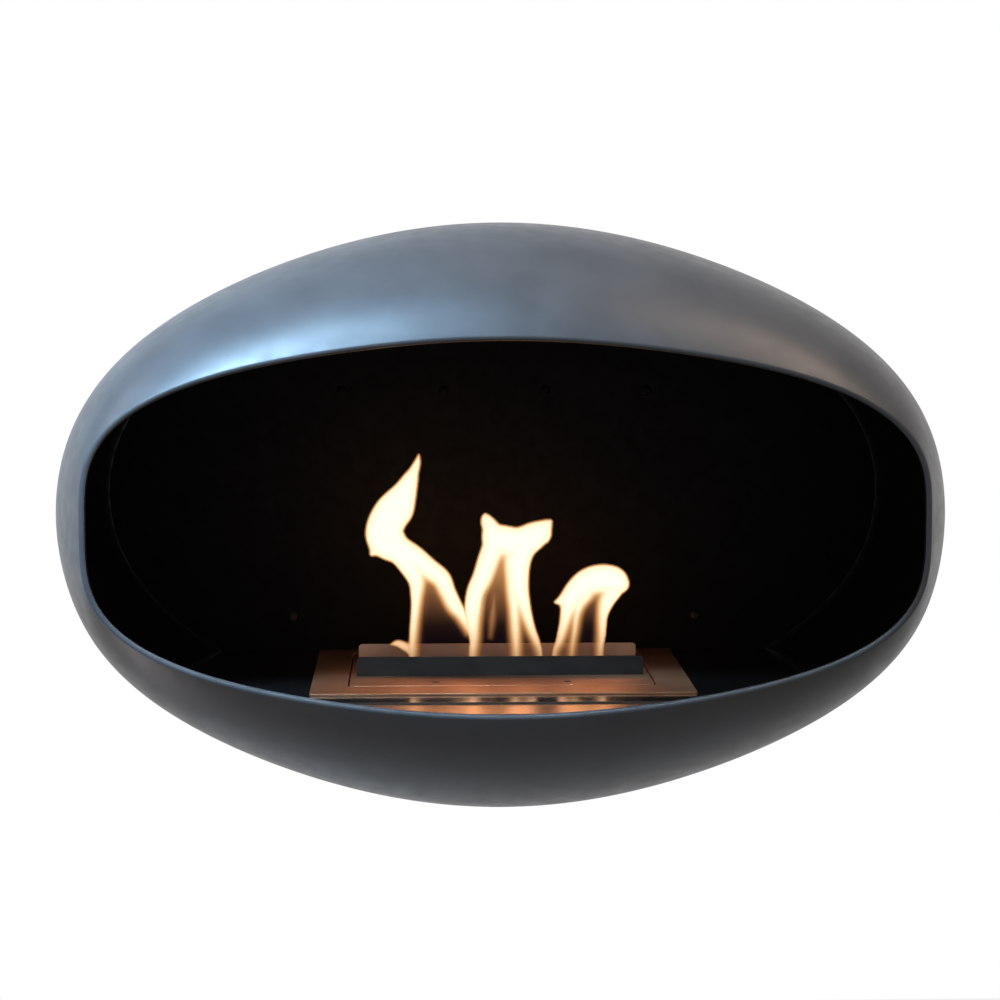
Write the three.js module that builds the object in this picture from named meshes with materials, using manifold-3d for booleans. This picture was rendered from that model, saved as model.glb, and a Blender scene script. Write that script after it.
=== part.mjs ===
// Wall-hung bioethanol fireplace: a pressed steel cocoon round a drop-in burner.
// Millimetres, +Z up. The viewer stands on the -Y side and the wall is the plane y = 0.
// The origin is the middle of the wall plate's back face, level with the shell's middle.

import * as THREE from 'three';
import { mergeVertices } from 'three/addons/utils/BufferGeometryUtils.js';
import Module from 'manifold-3d';

const wasm = await Module();
wasm.setup();

// Clearances shared by every fit.
const SEAT = 0.1; // between flat faces that rest on each other
const WELD = 0.3; // between a cut edge and the curved skin it is welded to
const HOLE = 0.2; // round a screw, rivet or stud
const SLIP = 2; // round the drop-in burner
const TURNED_FACES = 10; // round a screw, rivet or drilled hole

// Shell: widest at WIDEST_Y, closing to an oval mouth in front and a flatter oval at the wall.
const SHELL_WIDTH = 888;
const SHELL_HEIGHT = 588;
const SHELL_WALL = 3;
const FRONT_REACH = 219; // widest section to the mouth
const BACK_REACH = 188; // widest section to the rear edge
const WALL_GAP = 2; // rear edge to the wall
const MOUTH_WIDTH = 795;
const MOUTH_HEIGHT = 360;
const MOUTH_RISE = 7; // the mouth sits this much above the middle
const BACK_WIDTH = 822;
const BACK_HEIGHT = 458;
const BOW_POWER_X = 2.04; // plan view: nearly elliptical
const BOW_POWER_Z = 2.6; // side view: fuller
const CORNER_MIDDLE = -0.01; // swell of the oval's corners at the widest section
const CORNER_MOUTH = 0.066; // and at the mouth, where the oval is squarer
const FLANK_MIDDLE = 0.017; // swell of the flanks against the crown
const FLANK_MOUTH = 0.055;
const FLANK_RISE = 6.5; // the flanks are fullest this much above the middle
const FLANK_RISE_MOUTH = 1.5;
const LIP_RADIUS = 3.5; // rolled bead round the mouth
const AROUND = 72; // points round each section
const FRONT_STEPS = 8;
const BACK_STEPS = 5;
const LIP_STEPS = 5;
const LIP_GAP = 3.5; // bead to the sill behind it

// Back frame and back panel.
const PANEL_OFF_WALL = 22; // hardware space behind the panel
const PANEL_THICKNESS = 2;
const FRAME_THICKNESS = 3;
const FRAME_BAND = 34; // rear edge of the skin to the frame's opening
const PANEL_MARGIN = 6.5; // rear edge of the skin to the panel
const PANEL_SCREWS = 8;
const PANEL_SCREW_INSET = 21;
const PANEL_SCREW = { shank: 2, head: 4.4, rise: 2.5, length: 6.6, socket: 1.5 };

// Wall plate and hook rail.
const PLATE_WIDTH = 400;
const PLATE_HEIGHT = 240;
const PLATE_THICKNESS = 3;
const HOOK_GAP = 4.8; // web to upturned lip
const HOOK_HEIGHT = 14;
const WINDOW = { width: 80, height: 66, radius: 8, pitchX: 104, pitchZ: 104 };
const WALL_SLOT = { width: 8.5, length: 18, spacingX: 368, spacingZ: 184 };
const RAIL_WIDTH = 380;
const RAIL_THICKNESS = 3;
const RAIL_WEB = 40;
const RAIL_LEG = 13;
const RAIL_OFF_WALL = 4; // wall to the hanging leg
const RIVETS = 4;
const RIVET_PITCH = 110;
const RIVET = { shank: 3, head: 5.5, rise: 1.8 };
const BUFFER = { radius: 15, stem: 4, barb: 5.2, spacingX: 440, z: -130 };

// Hearth plate, sill and ledges.
const TRAY_TOP = -164.5;
const TRAY_THICKNESS = 2;
const HEARTH_THICKNESS = 2;
const HEARTH_FRONT = -348;
const SILL_THICKNESS = 2;
const SILL_LAP = 10; // how far the sill runs under the hearth plate
const LEDGE_THICKNESS = 2;
const LEDGE_SHELF = 32; // skin to the ledge's inner edge, at the widest section
const LEDGE_LEG = 14;
const LEDGE_LENGTH = 200;
const HEARTH_SCREW = { shank: 2, head: 3.8, length: 9, socket: 1.3, edge: 17, spacingY: 90 };

// Tray and burner.
const TRAY_WIDTH = 380;
const TRAY_FRONT = -311;
const TRAY_DEPTH = 275;
const TRAY_CORNER = 2;
const BURNER_WIDTH = 304;
const BURNER_FRONT = -267;
const BURNER_DEPTH = 205;
const BURNER_THICKNESS = 2;
const BURNER_GAP = 1.75; // tray cut-out round the burner
const BURNER_LEDGE = 10; // burner plate's overhang past the tank
const TANK_HEIGHT = 60;
const TANK_WALL = 1.5;
const TANK_CORNER = 14;
const TANK_FLANGE = 18;
const GASKET_THICKNESS = 1;
const WOOL_TOP = -179;
const WOOL_GAP = 1;
const GRILLE = { thickness: 1, lap: 8.5, depth: 50, slots: 10, slot: 14, border: 7 };
const BURNER_SCREW = { shank: 2, head: 4.2, length: 9, socket: 1.5, spacingX: 132, inset: 10.5 };

// Flame guards, slot and sliding lid.
const GUARD_MARGIN = 6; // burner plate's end to the guard's end
const GUARD_HEIGHT = 19.5;
const GUARD_THICKNESS = 1.5;
const GUARD_CORNER = 4;
const GUARD_FRONT = -207.5; // front face of the front guard
const GUARD_CLEAR = 84; // between the two guards
const TAB = { width: 20, drop: 4, inset: 46 }; // inset: guard's end to the outer tab's middle
const SLOT_MARGIN = 29.5; // burner plate's end to the slot's end
const LID_LAP = 2.5; // lid past the slot's edge, front and back
const LID_END_LAP = 5;
const LID_DEPTH = 41;
const LID_THICKNESS = 1.5;
const LID_CLEARANCE = 0.5;
const GUIDE = { foot: 8, cover: 4, thickness: 1.2 };
const PULL = { width: 26, height: 13, thickness: 1.2, foot: 10, hole: 3.2 };
const PULL_RIVET = { shank: 1.5, head: 2.8, rise: 0.9, spacing: 14 };

// Levels and lines that follow from the sizes above.
const WIDEST_Y = -(BACK_REACH + WALL_GAP);
const MOUTH_Y = WIDEST_Y - FRONT_REACH;
const REAR_Y = -WALL_GAP;
const PANEL_BACK = -PANEL_OFF_WALL;
const PANEL_FRONT = PANEL_BACK - PANEL_THICKNESS;
const FRAME_FRONT = PANEL_FRONT - SEAT - FRAME_THICKNESS;
const HEARTH_TOP = TRAY_TOP - TRAY_THICKNESS - SEAT;
const HEARTH_BOTTOM = HEARTH_TOP - HEARTH_THICKNESS;
const SILL_TOP = HEARTH_BOTTOM - SEAT;
const BURNER_BOTTOM = TRAY_TOP - BURNER_THICKNESS;
const BURNER_MIDDLE = BURNER_FRONT + BURNER_DEPTH / 2;
const TANK_TOP = BURNER_BOTTOM - GASKET_THICKNESS - 2 * SEAT;
const TANK_WIDTH = BURNER_WIDTH - 2 * BURNER_LEDGE;
const TANK_DEPTH = BURNER_DEPTH - 2 * BURNER_LEDGE;
const TANK_FLOOR = TANK_TOP - TANK_HEIGHT + TANK_WALL;
const GUARD_REAR_FACE = GUARD_FRONT + GUARD_THICKNESS; // of the front guard
const REAR_GUARD_FACE = GUARD_REAR_FACE + GUARD_CLEAR;
const GUARD_WIDTH = BURNER_WIDTH - 2 * GUARD_MARGIN;
const SLOT_WIDTH = BURNER_WIDTH - 2 * SLOT_MARGIN;
const SLOT_DEPTH = LID_DEPTH - 2 * LID_LAP;
const SLOT_MIDDLE = REAR_GUARD_FACE - LID_CLEARANCE - LID_DEPTH / 2;
const LID_WIDTH = SLOT_WIDTH + 2 * LID_END_LAP;
const LID_MIDDLE = GUARD_REAR_FACE + LID_CLEARANCE + LID_DEPTH / 2;
const HOOK_TOP = PLATE_HEIGHT / 2 + HOOK_HEIGHT;

// Colours.
const PAINT = { color: 0x4a4a4e, roughness: 0.42, metalness: 0.35 };
const BLACK = { color: 0x141416, roughness: 0.55, metalness: 0.3 };
const STAINLESS = { color: 0x9b948d, roughness: 0.32, metalness: 1 };
const DARK_STEEL = { color: 0x2b2f34, roughness: 0.5, metalness: 0.6 };
const ZINC = { color: 0x8f9296, roughness: 0.4, metalness: 0.9 };
const RUBBER = { color: 0x1b1b1b, roughness: 0.9, metalness: 0 };
const WOOL = { color: 0xd8d4c8, roughness: 1, metalness: 0 };
const GASKET = { color: 0x5a5650, roughness: 0.95, metalness: 0 };

// ---- solids -------------------------------------------------------------------------------

// Turn a closed three.js geometry into a solid that can be cut and joined.
function solidOf(geometry) {
  const bare = geometry.clone();
  bare.deleteAttribute('normal');
  bare.deleteAttribute('uv');
  const welded = mergeVertices(bare, 1e-4);
  return new wasm.Manifold(new wasm.Mesh({
    numProp: 3,
    vertProperties: new Float32Array(welded.attributes.position.array),
    triVerts: new Uint32Array(welded.index.array),
  }));
}

// Turn a solid back into a flat-shaded three.js geometry.
function geometryOf(solid) {
  const mesh = solid.getMesh();
  const geometry = new THREE.BufferGeometry();
  geometry.setAttribute('position', new THREE.BufferAttribute(mesh.vertProperties, 3));
  geometry.setIndex(new THREE.BufferAttribute(mesh.triVerts, 1));
  const flat = geometry.toNonIndexed();
  flat.computeVertexNormals();
  return flat;
}

const fireplace = new THREE.Group();
fireplace.name = 'wall_fireplace';

function add(name, solid, look) {
  const mesh = new THREE.Mesh(geometryOf(solid), new THREE.MeshStandardMaterial(look));
  mesh.name = name;
  fireplace.add(mesh);
}

// A box from its low and high corners.
function block(low, high) {
  const size = high.map((value, i) => value - low[i]);
  const geometry = new THREE.BoxGeometry(...size);
  geometry.translate(...low.map((value, i) => value + size[i] / 2));
  return solidOf(geometry);
}

// A round-cornered rectangle, as an outline or as a hole.
function roundedOutline(path, x, y, width, depth, radius) {
  const right = x + width / 2 - radius;
  const left = x - width / 2 + radius;
  const top = y + depth / 2 - radius;
  const bottom = y - depth / 2 + radius;
  path.absarc(right, top, radius, 0, Math.PI / 2);
  path.absarc(left, top, radius, Math.PI / 2, Math.PI);
  path.absarc(left, bottom, radius, Math.PI, 1.5 * Math.PI);
  path.absarc(right, bottom, radius, 1.5 * Math.PI, 2 * Math.PI);
  path.closePath();
  return path;
}

function roundedShape(x, y, width, depth, radius) {
  return roundedOutline(new THREE.Shape(), x, y, width, depth, radius);
}

function roundedHole(x, y, width, depth, radius) {
  return roundedOutline(new THREE.Path(), x, y, width, depth, radius);
}

// A level sheet: the outline lies in XY, the thickness runs up from the given bottom.
function levelSheet(shape, bottom, thickness, segments = 3) {
  const options = { depth: thickness, bevelEnabled: false, curveSegments: segments };
  const geometry = new THREE.ExtrudeGeometry(shape, options);
  geometry.translate(0, 0, bottom);
  return solidOf(geometry);
}

// An upright sheet: the outline lies in XZ, the thickness runs to -Y from the given back face.
function uprightSheet(shape, back, thickness, segments = 3) {
  const options = { depth: thickness, bevelEnabled: false, curveSegments: segments };
  const geometry = new THREE.ExtrudeGeometry(shape, options);
  geometry.rotateX(Math.PI / 2);
  geometry.translate(0, back, 0);
  return solidOf(geometry);
}

// A strip bent from sheet: its section lies in YZ and it runs along X, centred on the origin.
function bentStrip(section, width) {
  const shape = new THREE.Shape(section.map(([y, z]) => new THREE.Vector2(y, z)));
  const geometry = new THREE.ExtrudeGeometry(shape, { depth: width, bevelEnabled: false });
  geometry.translate(0, 0, -width / 2);
  geometry.rotateY(Math.PI / 2);
  geometry.rotateX(Math.PI / 2);
  return solidOf(geometry);
}

// A turned piece whose axis is +Z, from [radius, height] pairs.
function turned(profile, segments = TURNED_FACES) {
  const points = profile.map(([r, z]) => new THREE.Vector2(r, z));
  const geometry = new THREE.LatheGeometry(points, segments);
  geometry.rotateX(Math.PI / 2);
  return solidOf(geometry);
}

function rod(radius, bottom, top, segments = TURNED_FACES) {
  return turned([[0, bottom], [radius, bottom], [radius, top], [0, top]], segments);
}

// A hexagonal socket cut from a screw head whose top is at z = 0.
function socketed(screw, radius, depth) {
  return screw.subtract(rod(radius, -depth, 1, 6));
}

// Turn a +Z piece to point at the wall, and put it at x, y, z.
function towardWall(solid, x, y, z) {
  return solid.rotate([-90, 0, 0]).translate([x, y, z]);
}

// ---- shell form ---------------------------------------------------------------------------

// Half size of the bowed form at a distance from its widest section.
function bowed(half, edgeHalf, reach, power, distance) {
  const drop = 1 - (edgeHalf / half) ** power;
  return half * (1 - drop * (distance / reach) ** power) ** (1 / power);
}

// Outer skin at depth y and angle t, with t = 0 at the right flank and t = 90 degrees on top.
function skinPoint(y, t) {
  const front = y < WIDEST_Y;
  const distance = Math.abs(y - WIDEST_Y);
  const reach = front ? FRONT_REACH : BACK_REACH;
  const edgeX = (front ? MOUTH_WIDTH : BACK_WIDTH) / 2;
  const edgeZ = (front ? MOUTH_HEIGHT : BACK_HEIGHT) / 2;
  const halfX = bowed(SHELL_WIDTH / 2, edgeX, reach, BOW_POWER_X, distance);
  const halfZ = bowed(SHELL_HEIGHT / 2, edgeZ, reach, BOW_POWER_Z, distance);
  const blend = front ? (distance / reach) ** 2 : 0;
  const corner = THREE.MathUtils.lerp(CORNER_MIDDLE, CORNER_MOUTH, blend);
  const flank = THREE.MathUtils.lerp(FLANK_MIDDLE, FLANK_MOUTH, blend);
  const swell = 1 + Math.sin(2 * t) ** 2 * (corner + flank * Math.cos(2 * t));
  const rise = THREE.MathUtils.lerp(FLANK_RISE, FLANK_RISE_MOUTH, blend) * Math.cos(t) ** 2;
  const x = halfX * swell * Math.cos(t);
  const z = halfZ * swell * Math.sin(t) + MOUTH_RISE * blend + rise;
  return new THREE.Vector3(x, y, z);
}

// Outward normal of the outer skin, and the direction along the skin toward the mouth.
function skinFrame(y, t) {
  const step = 0.05;
  const low = Math.max(y - step, MOUTH_Y);
  const high = Math.min(y + step, REAR_Y);
  const forward = skinPoint(low, t).sub(skinPoint(high, t)).normalize();
  const around = skinPoint(y, t + 0.001).sub(skinPoint(y, t - 0.001)).normalize();
  const normal = new THREE.Vector3().crossVectors(around, forward).negate().normalize();
  if (normal.x * Math.cos(t) + normal.z * Math.sin(t) < 0) {
    normal.negate();
  }
  return { normal, forward };
}

// The skin set in by a distance, at depth-station y.
function innerPoint(y, t, inset) {
  return skinPoint(y, t).addScaledVector(skinFrame(y, t).normal, -inset);
}

// Depth stations, closer together where the skin turns most.
function skinStations() {
  const stations = [];
  for (let i = 0; i <= FRONT_STEPS; i += 1) {
    stations.push(WIDEST_Y - FRONT_REACH * Math.cos((i / FRONT_STEPS) * Math.PI / 2));
  }
  for (let i = 1; i <= BACK_STEPS; i += 1) {
    stations.push(WIDEST_Y + BACK_REACH * Math.sin((i / BACK_STEPS) * Math.PI / 2));
  }
  return stations;
}

function ringOf(point) {
  return Array.from({ length: AROUND }, (_, i) => point((i / AROUND) * 2 * Math.PI));
}

// Join closed rings of equal length into one skin: a tube with capped ends, or a ring of rings.
function loft(rings, closed) {
  const count = rings[0].length;
  const points = rings.flat();
  const index = [];
  const spans = closed ? rings.length : rings.length - 1;
  for (let i = 0; i < spans; i += 1) {
    const here = i * count;
    const next = ((i + 1) % rings.length) * count;
    for (let j = 0; j < count; j += 1) {
      const k = (j + 1) % count;
      index.push(here + j, next + k, next + j, here + j, here + k, next + k);
    }
  }
  if (!closed) {
    const last = (rings.length - 1) * count;
    const ends = [rings[0], rings[rings.length - 1]];
    for (const ring of ends) {
      const middle = ring.reduce((sum, p) => sum.add(p), new THREE.Vector3());
      points.push(middle.divideScalar(count));
    }
    for (let j = 0; j < count; j += 1) {
      const k = (j + 1) % count;
      index.push(points.length - 2, k, j);
      index.push(points.length - 1, last + j, last + k);
    }
  }
  if (signedVolume(points, index) < 0) {
    index.reverse();
  }
  const geometry = new THREE.BufferGeometry().setFromPoints(points);
  geometry.setIndex(index);
  return solidOf(geometry);
}

function signedVolume(points, index) {
  let volume = 0;
  for (let i = 0; i < index.length; i += 3) {
    const [a, b, c] = [points[index[i]], points[index[i + 1]], points[index[i + 2]]];
    volume += a.dot(new THREE.Vector3().crossVectors(b, c));
  }
  return volume;
}

// Everything inside the skin, less a clearance. Pieces cut by it follow the shell.
function insideSkin(clearance) {
  const inset = SHELL_WALL + clearance;
  const rings = skinStations().slice(1).map((y) => ringOf((t) => innerPoint(y, t, inset)));
  return loft(rings.reverse(), false); // rear first, so its facets match the shell's inner ones
}

// Outline of the rear edge set in by a distance, for flat pieces that lie near the wall.
function rearPoint(t, inset) {
  const { normal } = skinFrame(REAR_Y, t);
  const flat = new THREE.Vector2(normal.x, normal.z).normalize();
  const point = skinPoint(REAR_Y, t);
  return new THREE.Vector2(point.x - inset * flat.x, point.z - inset * flat.y);
}

function rearShape(inset) {
  return new THREE.Shape(ringOf((t) => rearPoint(t, inset)));
}

// ---- shell and back -----------------------------------------------------------------------

// One line round the rolled bead, at an angle counted from the outer skin over the front.
function beadRing(turn, radius) {
  return ringOf((t) => {
    const { normal, forward } = skinFrame(MOUTH_Y, t);
    const point = innerPoint(MOUTH_Y, t, LIP_RADIUS);
    point.addScaledVector(normal, radius * Math.cos(turn));
    return point.addScaledVector(forward, radius * Math.sin(turn));
  });
}

// The whole bead with a clearance, for pieces that stop short of it.
function beadSpace(clearance) {
  const steps = 2 * LIP_STEPS;
  const turns = Array.from({ length: steps }, (_, i) => (i / steps) * 2 * Math.PI);
  return loft(turns.map((turn) => beadRing(turn, LIP_RADIUS + clearance)), true);
}

// Pressed steel skin with its mouth edge rolled into a bead.
function makeShell() {
  const stations = skinStations();
  const outer = stations.map((y) => ringOf((t) => skinPoint(y, t)));
  const inner = stations.slice(1).map((y) => ringOf((t) => innerPoint(y, t, SHELL_WALL)));
  const bead = [];
  for (let i = 1; i <= LIP_STEPS; i += 1) {
    bead.push(beadRing((i / LIP_STEPS) * 1.25 * Math.PI, LIP_RADIUS));
  }
  add('shell', loft([...outer, ...inner.reverse(), ...bead.reverse()], true), PAINT);
}

function panelScrewPlaces() {
  return Array.from({ length: PANEL_SCREWS }, (_, i) => {
    const t = ((i + 0.5) / PANEL_SCREWS) * 2 * Math.PI;
    return rearPoint(t, PANEL_SCREW_INSET);
  });
}

// Flat ring welded inside the shell; the back panel is screwed to it from the wall side.
function makeBackFrame(inside) {
  const slab = block([-SHELL_WIDTH, FRAME_FRONT, -SHELL_HEIGHT],
    [SHELL_WIDTH, FRAME_FRONT + FRAME_THICKNESS, SHELL_HEIGHT]);
  const opening = uprightSheet(rearShape(FRAME_BAND), 0, 2 * PANEL_OFF_WALL);
  let frame = slab.intersect(inside).subtract(opening);
  for (const place of panelScrewPlaces()) {
    const drill = rod(PANEL_SCREW.shank + HOLE, -PANEL_OFF_WALL, PANEL_OFF_WALL);
    frame = frame.subtract(towardWall(drill, place.x, FRAME_FRONT, place.y));
  }
  add('back_frame', frame, BLACK);
}

function makeBackPanel() {
  let panel = uprightSheet(rearShape(PANEL_MARGIN), PANEL_BACK, PANEL_THICKNESS);
  const drill = (radius, x, z) => {
    const tool = rod(radius + HOLE, -PANEL_OFF_WALL, PANEL_OFF_WALL);
    panel = panel.subtract(towardWall(tool, x, PANEL_BACK, z));
  };
  for (const place of panelScrewPlaces()) {
    drill(PANEL_SCREW.shank, place.x, place.y);
  }
  for (const x of rivetPlaces()) {
    drill(RIVET.shank, x, rivetLevel());
  }
  for (const side of [-1, 1]) {
    drill(BUFFER.stem, side * BUFFER.spacingX / 2, BUFFER.z);
  }
  add('back_panel', panel, BLACK);
}

function makePanelScrews() {
  const { shank, head, rise, length, socket } = PANEL_SCREW;
  panelScrewPlaces().forEach((place, i) => {
    const profile = [[0, -length - rise], [shank, -length - rise], [shank, -rise],
      [head, -rise], [head, -rise / 2], [head * 0.7, 0], [0, 0]];
    const screw = socketed(turned(profile), socket, rise * 0.6);
    add(`panel_screw_${i + 1}`, towardWall(screw, place.x, PANEL_BACK + SEAT + rise, place.y), ZINC);
  });
}

// ---- wall hardware ------------------------------------------------------------------------

// Stamped wall plate: four windows, four slots for wall screws and an upturned hook lip.
function makeWallPlate() {
  const half = PLATE_HEIGHT / 2;
  const lip = PLATE_THICKNESS + HOOK_GAP;
  const outer = lip + PLATE_THICKNESS;
  const section = [[0, -half], [0, half], [-lip, half], [-lip, HOOK_TOP], [-outer, HOOK_TOP],
    [-outer, half - PLATE_THICKNESS], [-PLATE_THICKNESS, half - PLATE_THICKNESS],
    [-PLATE_THICKNESS, -half]];
  let plate = bentStrip(section, PLATE_WIDTH);
  const reach = 3 * PLATE_THICKNESS;
  for (const sx of [-1, 1]) {
    for (const sz of [-1, 1]) {
      const window = roundedShape(sx * WINDOW.pitchX / 2, sz * WINDOW.pitchZ / 2,
        WINDOW.width, WINDOW.height, WINDOW.radius);
      const slot = roundedShape(sx * WALL_SLOT.spacingX / 2, sz * WALL_SLOT.spacingZ / 2,
        WALL_SLOT.length, WALL_SLOT.width, WALL_SLOT.width / 2 - 0.01);
      plate = plate.subtract(uprightSheet(window, PLATE_THICKNESS, reach));
      plate = plate.subtract(uprightSheet(slot, PLATE_THICKNESS, reach));
    }
  }
  add('wall_plate', plate, BLACK);
}

function rivetPlaces() {
  return Array.from({ length: RIVETS }, (_, i) => (i - (RIVETS - 1) / 2) * RIVET_PITCH);
}

function railTop() {
  return HOOK_TOP + SEAT + RAIL_THICKNESS;
}

function rivetLevel() {
  return railTop() - RAIL_THICKNESS - (RAIL_WEB - RAIL_THICKNESS) / 2;
}

// Rail on the back panel: its leg hangs behind the wall plate's lip.
function makeHookRail() {
  const top = railTop();
  const web = PANEL_BACK + SEAT;
  const leg = -RAIL_OFF_WALL;
  const section = [[web, top - RAIL_WEB], [web, top], [leg, top], [leg, top - RAIL_LEG],
    [leg - RAIL_THICKNESS, top - RAIL_LEG], [leg - RAIL_THICKNESS, top - RAIL_THICKNESS],
    [web + RAIL_THICKNESS, top - RAIL_THICKNESS], [web + RAIL_THICKNESS, top - RAIL_WEB]];
  let rail = bentStrip(section, RAIL_WIDTH);
  for (const x of rivetPlaces()) {
    const drill = rod(RIVET.shank + HOLE, -1, RAIL_THICKNESS + 1);
    rail = rail.subtract(towardWall(drill, x, web, rivetLevel()));
  }
  add('hook_rail', rail, BLACK);
}

function makeRailRivets() {
  const { shank, head, rise } = RIVET;
  const grip = RAIL_THICKNESS + PANEL_THICKNESS + 3 * SEAT;
  const profile = [[0, -rise], [head * 0.6, -rise], [head, -rise * 0.4], [head, 0], [shank, 0],
    [shank, grip], [head, grip], [head, grip + rise * 0.4], [head * 0.6, grip + rise],
    [0, grip + rise]];
  rivetPlaces().forEach((x, i) => {
    const rivet = turned(profile);
    add(`rail_rivet_${i + 1}`, towardWall(rivet, x, PANEL_FRONT - SEAT, rivetLevel()), ZINC);
  });
}

// Rubber buffers keep the lower edge off the wall; each is pushed through a hole in the panel.
function makeBuffers() {
  const { radius, stem, barb } = BUFFER;
  const seat = -(PANEL_OFF_WALL - SEAT);
  const through = seat - PANEL_THICKNESS - 2 * SEAT;
  const profile = [[0, through - 4], [stem * 0.6, through - 4], [barb, through], [stem, through],
    [stem, seat], [radius, seat], [radius, -2], [radius - 2, 0], [0, 0]];
  for (const [name, side] of [['left', -1], ['right', 1]]) {
    const place = [side * BUFFER.spacingX / 2, 0, BUFFER.z];
    add(`wall_buffer_${name}`, towardWall(turned(profile, 16), ...place), RUBBER);
  }
}

// ---- hearth -------------------------------------------------------------------------------

// Half width of the chamber at the ledges' level, at the widest section.
function ledgeReach() {
  const inset = SHELL_WALL + WELD;
  const level = SILL_TOP - LEDGE_THICKNESS;
  let [low, high] = [-Math.PI / 2, 0];
  for (let i = 0; i < 30; i += 1) {
    const middle = (low + high) / 2;
    if (innerPoint(WIDEST_Y, middle, inset).z < level) {
      low = middle;
    } else {
      high = middle;
    }
  }
  return innerPoint(WIDEST_Y, low, inset).x;
}

function hearthScrewPlaces() {
  const x = ledgeReach() - HEARTH_SCREW.edge;
  const places = [];
  for (const sx of [-1, 1]) {
    for (const sy of [-1, 1]) {
      places.push([sx * x, WIDEST_Y + sy * HEARTH_SCREW.spacingY / 2]);
    }
  }
  return places;
}

// A countersunk hole in a level sheet whose top is at the given height.
function countersink(screw, x, y, top, thickness) {
  const deep = screw.head - screw.shank;
  const profile = [[0, -2 * thickness], [screw.shank + HOLE, -2 * thickness],
    [screw.shank + HOLE, -deep], [screw.head + HOLE, 0], [screw.head + HOLE, 1], [0, 1]];
  return turned(profile).translate([x, y, top]);
}

function countersunkScrew(screw, x, y, top) {
  const deep = screw.head - screw.shank;
  const profile = [[0, -screw.length], [screw.shank, -screw.length], [screw.shank, -deep],
    [screw.head, 0], [0, 0]];
  return socketed(turned(profile), screw.socket, deep * 0.7).translate([x, y, top]);
}

// Black floor of the fire chamber, with the burner's cut-out.
function makeHearthPlate(inside) {
  let plate = block([-SHELL_WIDTH, HEARTH_FRONT, HEARTH_BOTTOM],
    [SHELL_WIDTH, FRAME_FRONT - WELD, HEARTH_TOP]).intersect(inside);
  const pocket = roundedShape(0, BURNER_MIDDLE, TANK_WIDTH + 2 * SLIP, TANK_DEPTH + 2 * SLIP,
    TANK_CORNER + SLIP);
  plate = plate.subtract(levelSheet(pocket, HEARTH_BOTTOM - 1, HEARTH_THICKNESS + 2));
  for (const [x, y] of hearthScrewPlaces()) {
    plate = plate.subtract(countersink(HEARTH_SCREW, x, y, HEARTH_TOP, HEARTH_THICKNESS));
  }
  add('hearth_plate', plate, BLACK);
}

// Crescent between the hearth plate's straight front edge and the curved mouth.
function makeSill(inside) {
  const sill = block([-SHELL_WIDTH, MOUTH_Y - 1, SILL_TOP - SILL_THICKNESS],
    [SHELL_WIDTH, HEARTH_FRONT + SILL_LAP, SILL_TOP]).intersect(inside);
  add('front_sill', sill.subtract(beadSpace(LIP_GAP)), BLACK);
}

// Bent ledges welded to the skin carry the hearth plate.
function makeLedges(inside) {
  const top = SILL_TOP;
  const start = ledgeReach() - LEDGE_SHELF;
  for (const [name, side] of [['left', -1], ['right', 1]]) {
    const xs = [side * start, side * SHELL_WIDTH].sort((a, b) => a - b);
    const legs = [side * start, side * (start + LEDGE_THICKNESS)];
    legs.sort((a, b) => a - b);
    const low = WIDEST_Y - LEDGE_LENGTH / 2;
    const high = WIDEST_Y + LEDGE_LENGTH / 2;
    const shelf = block([xs[0], low, top - LEDGE_THICKNESS], [xs[1], high, top]);
    const leg = block([legs[0], low, top - LEDGE_LEG], [legs[1], high, top]);
    let ledge = shelf.add(leg).intersect(inside);
    for (const [x, y] of hearthScrewPlaces()) {
      const drill = rod(HEARTH_SCREW.shank + HOLE, top - 5, top + 1);
      ledge = ledge.subtract(drill.translate([x, y, 0]));
    }
    add(`hearth_ledge_${name}`, ledge, BLACK);
  }
}

function makeHearthScrews() {
  hearthScrewPlaces().forEach(([x, y], i) => {
    add(`hearth_screw_${i + 1}`, countersunkScrew(HEARTH_SCREW, x, y, HEARTH_TOP), DARK_STEEL);
  });
}

// Stainless surround that lies on the hearth plate.
function makeTray() {
  const shape = roundedShape(0, TRAY_FRONT + TRAY_DEPTH / 2, TRAY_WIDTH, TRAY_DEPTH, TRAY_CORNER);
  const hole = roundedHole(0, BURNER_MIDDLE, BURNER_WIDTH + 2 * BURNER_GAP,
    BURNER_DEPTH + 2 * BURNER_GAP, TRAY_CORNER);
  shape.holes.push(hole);
  add('tray_plate', levelSheet(shape, TRAY_TOP - TRAY_THICKNESS, TRAY_THICKNESS), STAINLESS);
}

// ---- burner -------------------------------------------------------------------------------

function burnerScrewPlaces() {
  const inset = BURNER_LEDGE + BURNER_SCREW.inset;
  const rows = [BURNER_FRONT + inset, BURNER_FRONT + BURNER_DEPTH - inset];
  return rows.flatMap((y) => [-1, 1].map((side) => [side * BURNER_SCREW.spacingX / 2, y]));
}

function tabPlaces() {
  return [-1, 0, 1].map((i) => i * (GUARD_WIDTH / 2 - TAB.inset));
}

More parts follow.
